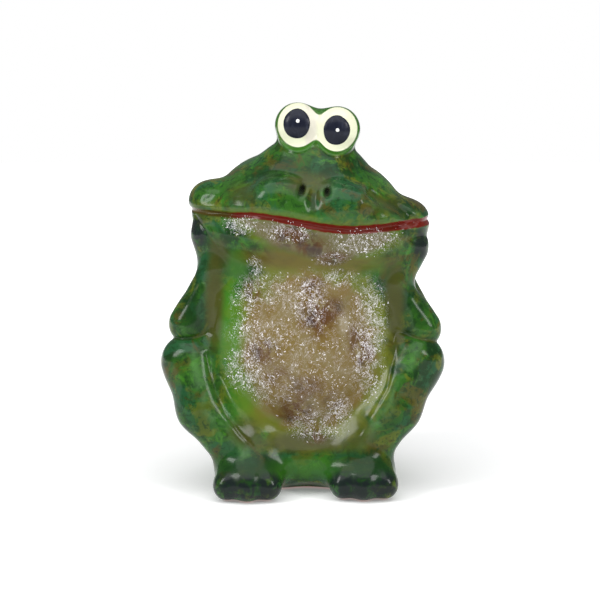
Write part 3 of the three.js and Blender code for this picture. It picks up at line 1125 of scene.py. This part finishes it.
        # Olive paint of the bands, and painted shade in the crease under the belly, laid over the
        # belly's edge.
        edged = kit.mix(edged, self.olive, kit.mask("olive") * belly.clear(-16.0, -4.0) * 0.9)
        throat = kit.mask("throat") + (cloud - 0.5) * 7.0
        edged = kit.mix(edged, self.border, throat.clear(5.0, 0.0) * 0.55)
        edged = kit.mix(edged, self.lilac, throat.clear(0.5, -3.5) * 0.85)
        edged = kit.mix(edged, self.band, kit.mask("band") * throat.clear(-3.0, 1.0) * 0.8)
        print_edge = kit.noise(5.0, 4.0, 0.65, 0.6, (9.0, 19.0, 4.0))
        bruise = kit.mask("bruise") * print_edge.clear(0.34, 0.56)
        hue = kit.mix(self.bruise, self.plum, kit.noise(7.0, 2.0).clear(0.5, 0.64))
        edged = kit.mix(edged, hue, bruise * 0.85)
        grain = kit.noise(1.8, 3.0, 0.62, 1.1, (1.0, 1.0, 1.0), (1.0, 0.7, 0.8))
        strings = (1.0 - abs(grain - 0.5) * 22.0).clear(0.2, 0.8)
        patchy = kit.noise(4.5, 4.0, 0.7, 0.9, (23.0, 5.0, 11.0))
        crumbs = kit.noise(0.8, 2.0, 0.6, 0.5, (14.0, 3.0, 6.0)).clear(0.52, 0.62)
        haze = (kit.mask("dabs") - 0.55).clear(0.0, 0.4) * patchy.clear(0.48, 0.62) * crumbs
        dust = kit.mask("dabs") * strings * patchy.clear(0.36, 0.52)
        return kit.mix(edged, self.frost, dust.most(haze * 0.6) * 0.72)

    def faced(self, kit: Kit, colour: bpy.types.NodeSocket) -> bpy.types.NodeSocket:
        """Lay on the dark tips, the lips and the whites of the eyes, with painted shade between the
        eyes.
        """
        cloud = kit.noise(5.0, 3.0, 0.6, 0.5, (41.0, 2.0, 9.0))
        colour = kit.mix(colour, self.ink, kit.mask("tips") * cloud.clear(0.30, 0.52) * 0.92)
        lip = kit.mask("lip") + (kit.noise(4.0, 2.0) - 0.5) * 1.1
        side = kit.node("ShaderNodeSeparateXYZ", {}, {"Vector": kit.place}).outputs["X"]
        wide = Wire(kit, side).clear(-40.0, 20.0) * 0.7
        band = (1.15 + wide - abs(lip + 0.45 + wide * 0.5)).clear(-0.3, 0.3)
        reddish = Wire(kit, side).clear(-33.0, -27.0)
        hue = kit.mix(self.bark, self.red, reddish)
        hue = kit.mix(hue, self.bruise, cloud.clear(0.5, 0.7) * 0.35)
        colour = kit.mix(colour, hue, band)
        colour = kit.mix(colour, self.ink, kit.mask("nostril") * 0.85)
        eye = kit.mask("eye")
        colour = kit.mix(colour, self.leaf, eye.clear(2.2, 1.2) * 0.5)
        aged_white_and_shade = kit.mix(self.cream, paint(206, 204, 176), kit.noise(6.0, 3.0).clear(0.5, 0.75) * 0.6)
        # Painted shade: a darker pinkish grey in the valley between the two eyes.
        eye_valley_shade = (Wire(kit, side) - 2.6).clear(-2.6, -0.6) * (Wire(kit, side) - 4.2).clear(2.6, 0.6)
        aged_white_and_shade = kit.mix(aged_white_and_shade, paint(204, 194, 190), eye_valley_shade * 0.55)
        return kit.mix(colour, aged_white_and_shade, eye.clear(0.25, -0.1))

    def make(self) -> bpy.types.Material:
        """Return the glaze material."""
        kit = Kit("mottled_frog_glaze")
        colour = self.painted(kit, self.shaded(kit, self.greens(kit)))
        colour = self.faced(kit, colour)
        bare = kit.mask("bare")
        dusty = kit.noise(2.2, 4.0, 0.7).clear(0.35, 0.7)
        raw = kit.mix(self.clay, paint(196, 130, 96), dusty)
        colour = kit.mix(colour, raw, bare)
        fine = kit.noise(1.6, 2.0, 0.5)
        rough = 0.17 + fine * 0.1 + kit.mask("dabs") * 0.25
        rough = rough * (1.0 - bare) + bare * 0.85
        orange_peel = kit.noise(5.5, 2.0, 0.45)
        height = orange_peel * 0.5 + fine * 0.1 + bare * kit.noise(0.5, 3.0, 0.7) * 0.5
        kit.relief(height, 0.28, 0.8)
        return kit.finish(
            base_color=colour,
            roughness=rough,
            coat_weight=(1.0 - bare) * 0.18,
            coat_roughness=0.12,
            ior=1.4,
            specular_ior_level=0.15,
        )


@dataclass(frozen=True)
class Enamel:
    """A glossy enamel, dripped on with a brush, with dust and hairline marks in it."""

    name: str
    body: Colour
    dust: Colour
    dusting: float = 0.35

    def make(self) -> bpy.types.Material:
        """Return the enamel material."""
        kit = Kit(self.name)
        specks = kit.noise(0.55, 3.0, 0.7, 0.5).clear(0.68, 0.8)
        sweep = kit.noise(2.6, 3.0, 0.6, 1.2, (4.0, 1.0, 7.0), (1.0, 1.0, 0.35)).clear(0.5, 0.75)
        colour = kit.mix(self.body, self.dust, (specks * 0.5 + sweep * 0.3) * self.dusting)
        kit.relief(kit.noise(2.4, 2.0), 0.08, 0.6)
        return kit.finish(
            base_color=colour,
            roughness=0.3 + sweep * 0.15,
            coat_weight=0.08,
            coat_roughness=0.08,
            specular_ior_level=0.15,
        )


@dataclass(frozen=True)
class Biscuit:
    """Unglazed fired clay, with grog specks and a rubbed surface."""

    body: Colour = paint(170, 100, 68)
    light: Colour = paint(200, 138, 104)
    grog: Colour = paint(120, 66, 44)

    def make(self) -> bpy.types.Material:
        """Return the bare clay material."""
        kit = Kit("bare_biscuit_clay")
        cloud = kit.noise(7.0, 4.0, 0.6)
        colour = kit.mix(self.body, self.light, cloud.clear(0.4, 0.68))
        specks = kit.noise(0.7, 2.0, 0.6, 0.3).clear(0.64, 0.72)
        colour = kit.mix(colour, self.grog, specks * 0.7)
        wiped = kit.noise(1.8, 3.0, 0.65, 0.4, (0.0, 0.0, 0.0), (0.2, 1.0, 1.0))
        kit.relief(wiped * 0.6 + kit.noise(0.4, 3.0, 0.7) * 0.4, 0.22, 0.9)
        return kit.finish(base_color=colour, roughness=0.82 + specks * 0.1)


@dataclass(frozen=True)
class SoftRubber:
    """Black moulded rubber with a patchy bloom."""

    body: Colour = paint(38, 36, 34)
    bloom: Colour = paint(84, 82, 78)

    def make(self) -> bpy.types.Material:
        """Return the rubber material."""
        kit = Kit("black_stopper_rubber")
        cloud = kit.noise(4.0, 4.0, 0.65)
        colour = kit.mix(self.body, self.bloom, cloud.clear(0.5, 0.8) * 0.5)
        kit.relief(kit.noise(0.35, 3.0, 0.7), 0.06, 0.7)
        return kit.finish(base_color=colour, roughness=0.55 + cloud * 0.2)


@dataclass(frozen=True)
class PaleFloor:
    """A plain pale studio floor."""

    tone: Colour = (0.87, 0.87, 0.87)

    def make(self) -> bpy.types.Material:
        """Return the floor material."""
        kit = Kit("pale_studio_floor")
        colour = kit.mix(self.tone, (0.9, 0.9, 0.9), kit.noise(60.0, 2.0))
        away = kit.node("ShaderNodeVectorMath", {"operation": "LENGTH"}, {0: kit.place})
        far = Wire(kit, away.outputs["Value"]).clear(150.0, 700.0)
        # Painted light: the floor glows, dimly near the frog and almost white far from it.
        glow = kit.mix((0.2, 0.2, 0.2), (0.95, 0.95, 0.95), far)
        return kit.finish(
            base_color=colour, roughness=0.9, emission_color=glow, emission_strength=1.0
        )


# ---------------------------------------------------------------- meshes


def hung(name: str, data: bpy.types.ID) -> bpy.types.Object:
    """Return a new object in the scene that shows the data."""
    made = bpy.data.objects.new(name, data)
    bpy.context.scene.collection.objects.link(made)
    return made


@contextmanager
def edited(piece: bpy.types.Object) -> Iterator[bmesh.types.BMesh]:
    """Open a piece's mesh for editing, and write it back at the end."""
    work = bmesh.new()
    work.from_mesh(piece.data)
    yield work
    work.to_mesh(piece.data)
    work.free()


def to_mesh(name: str, points: np.ndarray, faces: np.ndarray) -> bpy.types.Object:
    """Make an object from points in metres and faces of three or four corners.

    Args:
        name: The piece's name.
        points: The corners' places.
        faces: Corner numbers, one row for each face.

    Returns:
        The new object, at the origin.
    """
    mesh = bpy.data.meshes.new(name)
    mesh.vertices.add(len(points))
    mesh.vertices.foreach_set("co", np.ascontiguousarray(points, np.float32).ravel())
    sides = faces.shape[1]
    mesh.loops.add(faces.size)
    mesh.loops.foreach_set("vertex_index", np.ascontiguousarray(faces, np.int32).ravel())
    mesh.polygons.add(len(faces))
    mesh.polygons.foreach_set("loop_start", np.arange(0, faces.size, sides, dtype=np.int32))
    mesh.polygons.foreach_set("loop_total", np.full(len(faces), sides, np.int32))
    mesh.update(calc_edges=True)
    return hung(name, mesh)


def corners(mesh: bpy.types.Mesh) -> np.ndarray:
    """Return the mesh's vertices as rows of three numbers."""
    found = np.zeros(len(mesh.vertices) * 3, np.float32)
    mesh.vertices.foreach_get("co", found)
    return found.reshape(-1, 3).astype(float)


def applied(made: bpy.types.Object) -> None:
    """Turn an object's modifiers into plain mesh."""
    depsgraph = bpy.context.evaluated_depsgraph_get()
    result = bpy.data.meshes.new_from_object(made.evaluated_get(depsgraph))
    made.modifiers.clear()
    old = made.data
    made.data = result
    result.name = made.name
    bpy.data.meshes.remove(old)


def stacked(rings: Sequence[np.ndarray]) -> np.ndarray:
    """Return the quads that join each ring of points to the next, and the last to the first."""
    count, size = len(rings), len(rings[0])
    a = np.arange(count)[:, None] * size + np.arange(size)[None]
    b = np.roll(a, -1, axis=1)
    above, above_b = np.roll(a, -1, axis=0), np.roll(b, -1, axis=0)
    return np.stack([a, b, above_b, above], -1).reshape(-1, 4)


@dataclass
class FrogShell:
    """The two moulded halves of the frog, glazed as one."""

    form: FrogForm
    base: BaseFit
    shift: np.ndarray
    seam: float
    top_count: int = 196000
    pitch: float = 0.76
    draft_pitch: float = 1.25
    low: Vec3 = (-66, -54, -3)
    high: Vec3 = (66, 48, 170)
    hidden_depth: float = 2.0
    hidden_weight: float = 10.0
    reach: float = 0.06

    def build(self) -> list[bpy.types.Object]:
        """Cast, thin, paint and glaze both halves.

        Returns:
            The front half and the back half.
        """
        clay = ClayShell(self.form, self.base)
        pitch = self.pitch
        net = SkinNet(clay, self.seam, self.low, self.high, pitch)
        glaze = FrogGlaze().make()
        halves = []
        for half, name in ((Half.FRONT, "frog_front"), (Half.BACK, "frog_back")):
            points, quads = net.cast(half)
            made = to_mesh(name, (points + self.shift) * MM, quads)
            self.thin(made, points)
            self.dress(made, clay)
            made.data.materials.append(glaze)
            LOG.info("%s: %d faces", name, len(made.data.polygons))
            halves.append(made)
        return halves

    def thin(self, made: bpy.types.Object, points: np.ndarray) -> None:
        """Thin out the unseen inner wall until the piece is light enough."""
        triangles = 2 * len(made.data.polygons)
        if triangles <= self.top_count:
            return
        inner = made.vertex_groups.new(name="inner_wall")
        hidden = np.flatnonzero(self.form.skin(points) < -self.hidden_depth)
        inner.add([int(i) for i in hidden], 1.0, "REPLACE")
        thinning = made.modifiers.new("thinning", "DECIMATE")
        thinning.vertex_group = inner.name
        thinning.vertex_group_factor = self.hidden_weight
        thinning.ratio = self.top_count / triangles
        applied(made)
        made.vertex_groups.clear()

    def dress(self, made: bpy.types.Object, clay: ClayShell) -> None:
        """Lay the paint masks on a half and give it the clay's own exact shading."""
        mesh = made.data
        points = corners(mesh) / MM - self.shift
        on_seam = np.abs(points[:, 1] - self.seam) < 0.02
        for name, values in PaintPlan(self.form).lay(points).items():
            layer = mesh.attributes.new(name, "FLOAT", "POINT")
            layer.data.foreach_set("value", np.ascontiguousarray(values, np.float32))
        normals = rises(clay, points, clay(points), self.reach)
        normals /= np.linalg.norm(normals, axis=-1, keepdims=True) + 1e-12
        mesh.polygons.foreach_set("use_smooth", np.ones(len(mesh.polygons), bool))
        loops = np.zeros(len(mesh.loops), np.int32)
        mesh.loops.foreach_get("vertex_index", loops)
        totals = np.zeros(len(mesh.polygons), np.int32)
        mesh.polygons.foreach_get("loop_total", totals)
        flat = np.zeros(len(mesh.polygons) * 3, np.float32)
        mesh.polygons.foreach_get("normal", flat)
        flat = flat.reshape(-1, 3)
        owner = np.repeat(np.arange(len(totals)), totals)
        starts = np.concatenate([[0], np.cumsum(totals)[:-1]])
        capped = np.minimum.reduceat(on_seam[loops].astype(int), starts) == 1
        shading = np.where(capped[owner][:, None], flat[owner], normals[loops])
        mesh.normals_split_custom_set([tuple(row) for row in shading.tolist()])


@dataclass
class FrogEyes:
    """The enamelled pupils and their dots of light, laid on the glazed eyes."""

    form: FrogForm
    shift: np.ndarray
    pupils: tuple[tuple[float, float], ...] = ((-9.0, 157.0), (8.0, 155.9))
    pupil_size: tuple[float, float] = (5.6, 6.2)
    pupil_rise: float = 0.38
    dots: tuple[tuple[float, float], ...] = ((-8.7, 158.2), (8.3, 156.1))
    dot_size: tuple[float, float] = (0.74, 0.74)
    dot_rise: float = 0.3
    reach: float = 0.05

    def lift(self, across: np.ndarray, up: np.ndarray) -> tuple[np.ndarray, np.ndarray]:
        """Find the glazed surface under places on the face.

        Args:
            across: Sideways places in the head's own axes.
            up: Heights in the head's own axes.

        Returns:
            The surface points and the directions out of it, in the figure's axes.
        """
        head = np.stack([across, np.full_like(across, -26.0), up], -1)
        for _ in range(24):
            points = self.form.from_head(head)
            head[..., 1] += 0.9 * self.form.skin(points)
        points = self.form.from_head(head)
        out = rises(self.form.skin, points, self.form.skin(points), self.reach)
        return points, out / np.linalg.norm(out, axis=-1, keepdims=True)

    def drop(
        self, centre: tuple[float, float], size: tuple[float, float], rise: float, lifted: float
    ) -> tuple[np.ndarray, np.ndarray]:
        """Shape one domed drop of enamel that clings to the eye.

        Args:
            centre: Its middle in the head's own axes.
            size: Its half-width and half-height.
            rise: How thick it is.
            lifted: How far the layer under it stands off the glaze.

        Returns:
            Its points in the figure's axes and its faces.
        """
        rings, sides = 18, 64
        angle = np.linspace(0.0, 2 * math.pi, sides, endpoint=False)
        wobble = 1.0 + 0.012 * np.sin(3 * angle + centre[0]) + 0.008 * np.sin(5 * angle)
        points = []
        for ring in range(rings + 1):
            share = max(math.sin(0.5 * math.pi * ring / rings), 0.004)
            across = centre[0] + size[0] * share * wobble * np.cos(angle)
            up = centre[1] + size[1] * share * wobble * np.sin(angle)
            surface, out = self.lift(across, up)
            dome = rise * (1.0 - share**6) ** 0.5 if ring < rings else 0.0
            points.append(surface + out * (lifted + dome))
        under = [row - 0.55 * np.array([0.0, -1.0, 0.0]) for row in points[::-1]]
        whole = points + under
        quads = stacked(whole)
        return np.concatenate(whole), quads[:, ::-1]

    def build(self) -> list[bpy.types.Object]:
        """Make both pupils as one piece and both dots as another.

        Returns:
            The two pieces.
        """
        black = Enamel("black_pupil_enamel", paint(24, 27, 40), paint(96, 104, 128)).make()
        white = Enamel("white_dot_enamel", paint(236, 236, 232), paint(200, 200, 196)).make()
        made = []
        plans = (
            ("pupils", self.pupils, self.pupil_size, self.pupil_rise, 0.0, black),
            ("eye_dots", self.dots, self.dot_size, self.dot_rise, self.pupil_rise, white),
        )
        for name, centres, size, rise, lifted, enamel in plans:
            points, faces = [], []
            for centre in centres:
                found, quads = self.drop(centre, size, rise, lifted)
                faces.append(quads + sum(len(p) for p in points))
                points.append(found)
            placed = (np.concatenate(points) + self.shift) * MM
            piece = to_mesh(name, placed, np.concatenate(faces))
            self.close(piece)
            piece.data.materials.append(enamel)
            LOG.info("%s: %d faces", name, len(piece.data.polygons))
            made.append(piece)
        return made

    @staticmethod
    def close(piece: bpy.types.Object) -> None:
        """Merge the doubled poles, face everything outwards and shade it smooth."""
        with edited(piece) as work:
            bmesh.ops.remove_doubles(work, verts=work.verts, dist=0.00004)
            bmesh.ops.recalc_face_normals(work, faces=work.faces)
            for face in work.faces:
                face.smooth = True


@dataclass
class SpongedFlecks:
    """Raised flecks of white paint, sponged on the belly and the throat."""

    density: float = 1.15e7
    coat: float = 0.10
    length: float = 1.25

    def fleck(self) -> bpy.types.Object:
        """Return one low, ragged fleck, a millimetre long, lying flat."""
        angle = np.linspace(0.0, 2 * math.pi, 7, endpoint=False)
        ragged = np.array([1.0, 0.72, 0.94, 0.66, 1.05, 0.8, 0.7])
        rim = np.stack([0.5 * ragged * np.cos(angle), 0.26 * ragged * np.sin(angle)], -1)
        rings = []
        for share, height in ((0.02, 1.0), (0.62, 0.8), (1.0, 0.1), (0.9, -1.4), (0.02, -1.4)):
            rings.append(np.column_stack([rim * share, np.full(7, height * 0.5)]))
        made = to_mesh("fleck_seed", np.concatenate(rings) * MM, stacked(rings))
        FrogEyes.close(made)
        return made

    def tree(self, seed: bpy.types.Object, white: bpy.types.Material) -> bpy.types.NodeTree:
        """Write the scatter that lays the flecks.

        Args:
            seed: The fleck that is repeated.
            white: The flecks' paint.

        Returns:
            The Geometry Nodes tree, with inputs for its sizes.
        """
        tree = bpy.data.node_groups.new("sponged_flecks", "GeometryNodeTree")
        face = tree.interface
        face.new_socket("Geometry", in_out="INPUT", socket_type="NodeSocketGeometry")
        for name in ("Density", "Length", "Coat"):
            face.new_socket(name, in_out="INPUT", socket_type="NodeSocketFloat")
        face.new_socket("Seed", in_out="INPUT", socket_type="NodeSocketInt")
        face.new_socket("Geometry", in_out="OUTPUT", socket_type="NodeSocketGeometry")

        add = partial(add_node, tree)

        def combined(operation: str, *values: object) -> bpy.types.NodeSocket:
            """Return the result of a Math node on the values."""
            node = add("ShaderNodeMath", {"operation": operation}, dict(enumerate(values)))
            return node.outputs[0]

        def cloudy(scale: float, roughness: float, warp: float) -> bpy.types.NodeSocket:
            """Return noise over the surface."""
            values = {"Vector": place, "Scale": scale, "Detail": 3.0}
            values.update({"Roughness": roughness, "Distortion": warp})
            return add("ShaderNodeTexNoise", {}, values).outputs[0]

        def mapped(
            value: bpy.types.NodeSocket, low: float, high: float, at_low: float, at_high: float
        ) -> bpy.types.NodeSocket:
            """Return a smooth, held rise or fall between two values."""
            values = {"Value": value, "From Min": low, "From Max": high}
            values.update({"To Min": at_low, "To Max": at_high})
            smooth_map = {"interpolation_type": "SMOOTHSTEP"}
            return add("ShaderNodeMapRange", smooth_map, values).outputs[0]

        def drawn(low: float, high: float, number: int) -> bpy.types.NodeSocket:
            """Return a random number for each fleck."""
            values = {"Min": low, "Max": high, "Seed": number}
            return add("FunctionNodeRandomValue", {"data_type": "FLOAT"}, values).outputs[1]

        start = add("NodeGroupInput").outputs
        named = add("GeometryNodeInputNamedAttribute", {"data_type": "FLOAT"}, {"Name": "dabs"})
        place = add("GeometryNodeInputPosition").outputs[0]
        off = combined("SUBTRACT", cloudy(560.0, 0.6, 0.8), 0.5)
        ridge = mapped(combined("ABSOLUTE", off), 0.0, 0.032, 1.0, 0.03)
        patch = mapped(cloudy(150.0, 0.65, 0.6), 0.38, 0.62, 0.12, 1.0)
        amount = combined("MULTIPLY", combined("POWER", named.outputs[0], 1.4), ridge)
        amount = combined("MULTIPLY", amount, patch)
        amount = combined("MULTIPLY", amount, start["Density"])
        spread = add(
            "GeometryNodeDistributePointsOnFaces",
            {"distribute_method": "RANDOM"},
            {"Mesh": start[0], "Density": amount, "Seed": start["Seed"]},
        ).outputs
        spin = {"Axis": (0.0, 0.0, 1.0), "Angle": drawn(-math.pi, math.pi, 3)}
        spun = add("FunctionNodeAxisAngleToRotation", {}, spin).outputs[0]
        facing = add(
            "FunctionNodeRotateRotation",
            {"rotation_space": "LOCAL"},
            {"Rotation": spread["Rotation"], "Rotate By": spun},
        ).outputs[0]
        long = combined("MULTIPLY", combined("POWER", drawn(0.45, 1.0, 5), 1.8), start["Length"])
        broad = combined("MULTIPLY", long, drawn(0.4, 0.8, 9))
        sizes = {"X": long, "Y": broad, "Z": start["Coat"]}
        scale = add("ShaderNodeCombineXYZ", {}, sizes).outputs[0]
        fleck = add("GeometryNodeObjectInfo", {}, {"Object": seed}).outputs["Geometry"]
        laid = {"Points": spread["Points"], "Instance": fleck, "Rotation": facing, "Scale": scale}
        flecks = add("GeometryNodeInstanceOnPoints", {}, laid).outputs[0]
        flecks = add("GeometryNodeRealizeInstances", {}, {"Geometry": flecks}).outputs[0]
        flecks = add("GeometryNodeSetShadeSmooth", {}, {"Geometry": flecks}).outputs[0]
        dressed = {"Geometry": flecks, "Material": white}
        flecks = add("GeometryNodeSetMaterial", {}, dressed).outputs[0]
        add("NodeGroupOutput", {}, {0: flecks})
        return tree

    def build(self, front: bpy.types.Object) -> bpy.types.Object:
        """Scatter the flecks over the front half.

        Args:
            front: The painted front half, which carries the sponge-print mask.

        Returns:
            The flecks as one piece.
        """
        seed = self.fleck()
        body, dust = paint(240, 238, 242), paint(206, 200, 208)
        white = Enamel("white_sponged_paint", body, dust, 0.5).make()
        tree = self.tree(seed, white)
        host = hung("white_flecks", front.data.copy())
        scatter = host.modifiers.new("scatter", "NODES")
        scatter.node_group = tree
        sizes = {"Density": self.density, "Length": self.length, "Coat": self.coat, "Seed": SEED}
        for item in tree.interface.items_tree:
            if item.in_out == "INPUT" and item.name in sizes:
                scatter[item.identifier] = sizes[item.name]
        applied(host)
        bpy.data.objects.remove(seed)
        if not host.data.materials:
            host.data.materials.append(white)
        LOG.info("white_flecks: %d faces", len(host.data.polygons))
        return host


@dataclass
class BaseFittings:
    """The slab that closes the base, and the rubber stopper in it, in metres."""

    corner: float = 0.0006
    sides: int = 96

    def ring(self, rx: float, ry: float, z: float, middle: Vector) -> np.ndarray:
        """Return a level ring of points."""
        angle = np.linspace(0.0, 2 * math.pi, self.sides, endpoint=False)
        x = middle.x + rx * np.cos(angle)
        y = middle.y + ry * np.sin(angle)
        return np.stack([x, y, np.full_like(x, z)], -1)

    def slab(self) -> bpy.types.Object:
        """Return the clay slab with its round hole and softened edges."""
        low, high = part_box("base_slab")
        stop_low, stop_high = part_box("stopper")
        middle = (low + high) / 2
        rx, ry = (high.x - low.x) / 2, (high.y - low.y) / 2
        hole = (stop_high.x - stop_low.x) / 2 - 0.003
        c = self.corner
        outline = []
        for inset, z in ((c, low.z), (0.3 * c, low.z + 0.3 * c), (0, low.z + c), (0, high.z - c),
                         (0.3 * c, high.z - 0.3 * c), (c, high.z)):
            outline.append(self.ring(rx - inset, ry - inset, z, middle))
        for share in (0.66, 0.33):
            grown = (hole + c) * (1 - share)
            outline.append(self.ring(grown + rx * share, grown + ry * share, high.z, middle))
        for inset, z in ((c, high.z), (0.3 * c, high.z - 0.3 * c), (0, high.z - c), (0, low.z + c),
                         (0.3 * c, low.z + 0.3 * c), (c, low.z)):
            outline.append(self.ring(hole + inset, hole + inset, z, middle))
        for share in (0.33, 0.66):
            grown = (hole + c) * (1 - share)
            outline.append(self.ring(grown + rx * share, grown + ry * share, low.z, middle))
        made = to_mesh("clay_base_slab", np.concatenate(outline), stacked(outline))
        self.smoothed(made, 40.0)
        made.data.materials.append(Biscuit().make())
        return made

    def stopper(self) -> bpy.types.Object:
        """Return the rubber stopper, with its lip, ribs, cup and finger bar."""
        low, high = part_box("stopper")
        middle = (low + high) / 2
        lip = (high.x - low.x) / 2
        rib = lip - 0.0034
        shank, cup = rib - 0.0005, rib - 0.0035
        seat = low.z + 0.0017
        top = high.z
        profile = [(cup, low.z + 0.0004), (cup + 0.0004, low.z), (lip - 0.0006, low.z),
                   (lip - 0.0002, low.z + 0.0002), (lip, low.z + 0.0006), (lip, seat - 0.0005),
                   (lip - 0.0002, seat - 0.0001), (lip - 0.0006, seat), (shank + 0.0003, seat),
                   (shank, seat + 0.0003)]
        length = top - seat
        for share in (0.25, 0.5, 0.75):
            z = seat + share * length
            for r, lift in ((0.0, -0.0007), (0.85, -0.0004), (1.0, -0.0002), (1.0, 0.0002),
                            (0.85, 0.0004), (0.0, 0.0007)):
                profile.append((shank + r * (rib - shank), z + lift))
        profile += [(shank, top - 0.0012), (shank - 0.0004, top - 0.0004), (shank - 0.0012, top),
                    (0.00002, top), (0.00002, top - 0.003), (cup - 0.0008, top - 0.003),
                    (cup - 0.0002, top - 0.0032), (cup, top - 0.0038)]
        rings = [self.ring(r, r, z, middle) for r, z in profile]
        made = to_mesh("rubber_stopper", np.concatenate(rings), stacked(rings))
        bar = self.bar(middle, cup, low.z + 0.0004, top - 0.0028)
        with edited(made) as work:
            bmesh.ops.remove_doubles(work, verts=work.verts, dist=0.00005)
            work.from_mesh(bar.data)
        bpy.data.objects.remove(bar)
        self.smoothed(made, 35.0)
        made.data.materials.append(SoftRubber().make())
        return made

    def bar(self, middle: Vector, reach: float, low: float, high: float) -> bpy.types.Object:
        """Return the bar across the stopper's cup, with waisted sides to grip."""
        rows = []
        for x in np.linspace(-reach - 0.0003, reach + 0.0003, 25):
            half = 0.0015 - 0.0004 * math.cos(math.pi * x / reach / 2)
            row = []
            for y, z in ((-1, low + 0.0004), (-0.75, low), (0.75, low), (1, low + 0.0004),
                         (1, high - 0.0002), (0.9, high), (-0.9, high), (-1, high - 0.0002)):
                row.append((middle.x + x, middle.y + y * half, z))
            rows.append(np.array(row))
        quads = stacked(rows)
        inner = quads[: -len(rows[0])]
        made = to_mesh("bar", np.concatenate(rows), inner)
        with edited(made) as work:
            bmesh.ops.holes_fill(work, edges=[e for e in work.edges if e.is_boundary], sides=12)
        return made

    @staticmethod
    def smoothed(made: bpy.types.Object, angle: float) -> None:
        """Face a piece outwards and shade it smooth but for its sharp edges."""
        limit = math.radians(angle)
        with edited(made) as work:
            bmesh.ops.recalc_face_normals(work, faces=work.faces)
            for face in work.faces:
                face.smooth = True
            for edge in work.edges:
                edge.smooth = len(edge.link_faces) < 2 or edge.calc_face_angle(0.0) < limit


# ---------------------------------------------------------------- studio


@dataclass
class Studio:
    """The camera, the pale floor and the soft lights."""

    focus: Vec3 = (-0.00125, 0.00292, 0.0788)
    distance: float = 0.735
    elevation: float = 10.0
    lens: float = 100.0
    floor_size: float = 3.0
    floor_drop: float = 0.0004

    def camera(self) -> None:
        """Make the camera, level with the frog's chest and looking slightly down."""
        data = bpy.data.cameras.new("view")
        data.lens = self.lens
        data.sensor_width = 36.0
        made = hung("view", data)
        tilt = math.radians(self.elevation)
        away = Vector((0.0, -math.cos(tilt), math.sin(tilt))) * self.distance
        made.location = Vector(self.focus) + away
        made.rotation_euler = (-away).to_track_quat("-Z", "Y").to_euler()
        bpy.context.scene.camera = made

    def lamp(self, name: str, place: Vec3, size: tuple[float, float], watts: float) -> None:
        """Hang one softbox that faces the frog."""
        data = bpy.data.lights.new(name, "AREA")
        data.shape = "RECTANGLE"
        data.size, data.size_y = size
        data.energy = watts
        made = hung(name, data)
        made.location = place
        aim = Vector((0.0, 0.0, 0.08)) - Vector(place)
        made.rotation_euler = aim.to_track_quat("-Z", "Y").to_euler()

    def floor(self) -> None:
        """Lay the pale floor."""
        half = self.floor_size / 2
        points = np.array([[-half, -half, 0], [half, -half, 0], [half, half, 0], [-half, half, 0]])
        made = to_mesh("studio_floor", points, np.array([[0, 1, 2, 3]]))
        made.location.z = -self.floor_drop
        made.data.materials.append(PaleFloor().make())

    def air(self) -> None:
        """Fill the room with even light, and leave the air white behind the frog."""
        world = bpy.data.worlds.new("studio_air")
        bpy.context.scene.world = world
        world.use_nodes = True
        tree = world.node_tree
        tree.nodes.clear()
        add = partial(add_node, tree)
        seen = add("ShaderNodeBackground", {}, {"Color": (1.0, 1.0, 1.0), "Strength": 1.0})
        fill = add("ShaderNodeBackground", {}, {"Color": (0.95, 0.98, 1.0), "Strength": 0.22})
        to_camera = add("ShaderNodeLightPath").outputs["Is Camera Ray"]
        ends = {0: to_camera, 1: fill.outputs[0], 2: seen.outputs[0]}
        mixed = add("ShaderNodeMixShader", {}, ends)
        add("ShaderNodeOutputWorld", {}, {"Surface": mixed.outputs[0]})

    def build(self) -> None:
        """Light the floor and the frog."""
        self.air()
        self.floor()
        self.lamp("left_softbox", (-0.95, -0.5, 0.75), (0.3, 0.6), 7.0)
        self.lamp("right_softbox", (0.95, -0.65, 0.65), (0.28, 0.5), 5.0)
        self.lamp("overhead", (0.0, -0.4, 1.55), (2.2, 1.8), 27.0)
        bpy.context.scene.view_settings.view_transform = "Standard"


# ---------------------------------------------------------------- assembly


@dataclass
class FrogMoneyBox:
    """The whole money box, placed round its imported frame."""

    form: FrogForm
    seam: float = 1.0
    slab_place: tuple[float, float] = (0.0, 3.0)
    slip_gap: float = 0.3

    def build(self) -> None:
        """Build every piece and hang it on its body."""
        low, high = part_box("base_slab")
        middle = (low + high) / 2 / MM
        shift = np.array([middle.x - self.slab_place[0], middle.y - self.slab_place[1], 0.0])
        half = (high - low) / 2 / MM
        recess = (half.x + self.slip_gap, half.y + self.slip_gap)
        base = BaseFit(self.slab_place, recess, high.z / MM + 0.5)
        front, back = FrogShell(self.form, base, shift, self.seam).build()
        flecks = SpongedFlecks().build(front)
        eyes = FrogEyes(self.form, shift).build()
        fittings = BaseFittings()
        slab, stopper = fittings.slab(), fittings.stopper()
        for piece, slot in ((front, "glaze"), (back, "glaze"), (flecks, "glaze"),
                            (eyes[0], "glaze"), (eyes[1], "glaze"), (slab, "raw_clay")):
            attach(piece, BODY)
        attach(stopper, "stopper")
        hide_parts("front_shell")
        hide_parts("back_shell")
        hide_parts("base_slab")
        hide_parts("stopper")


def main() -> None:
    """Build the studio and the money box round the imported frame."""
    logging.basicConfig(level=logging.INFO, format="%(name)s: %(message)s", stream=sys.stdout)
    studio = Studio()
    studio.camera()
    studio.build()
    FrogMoneyBox(FrogForm()).build()


if __name__ == "__main__":
    main()
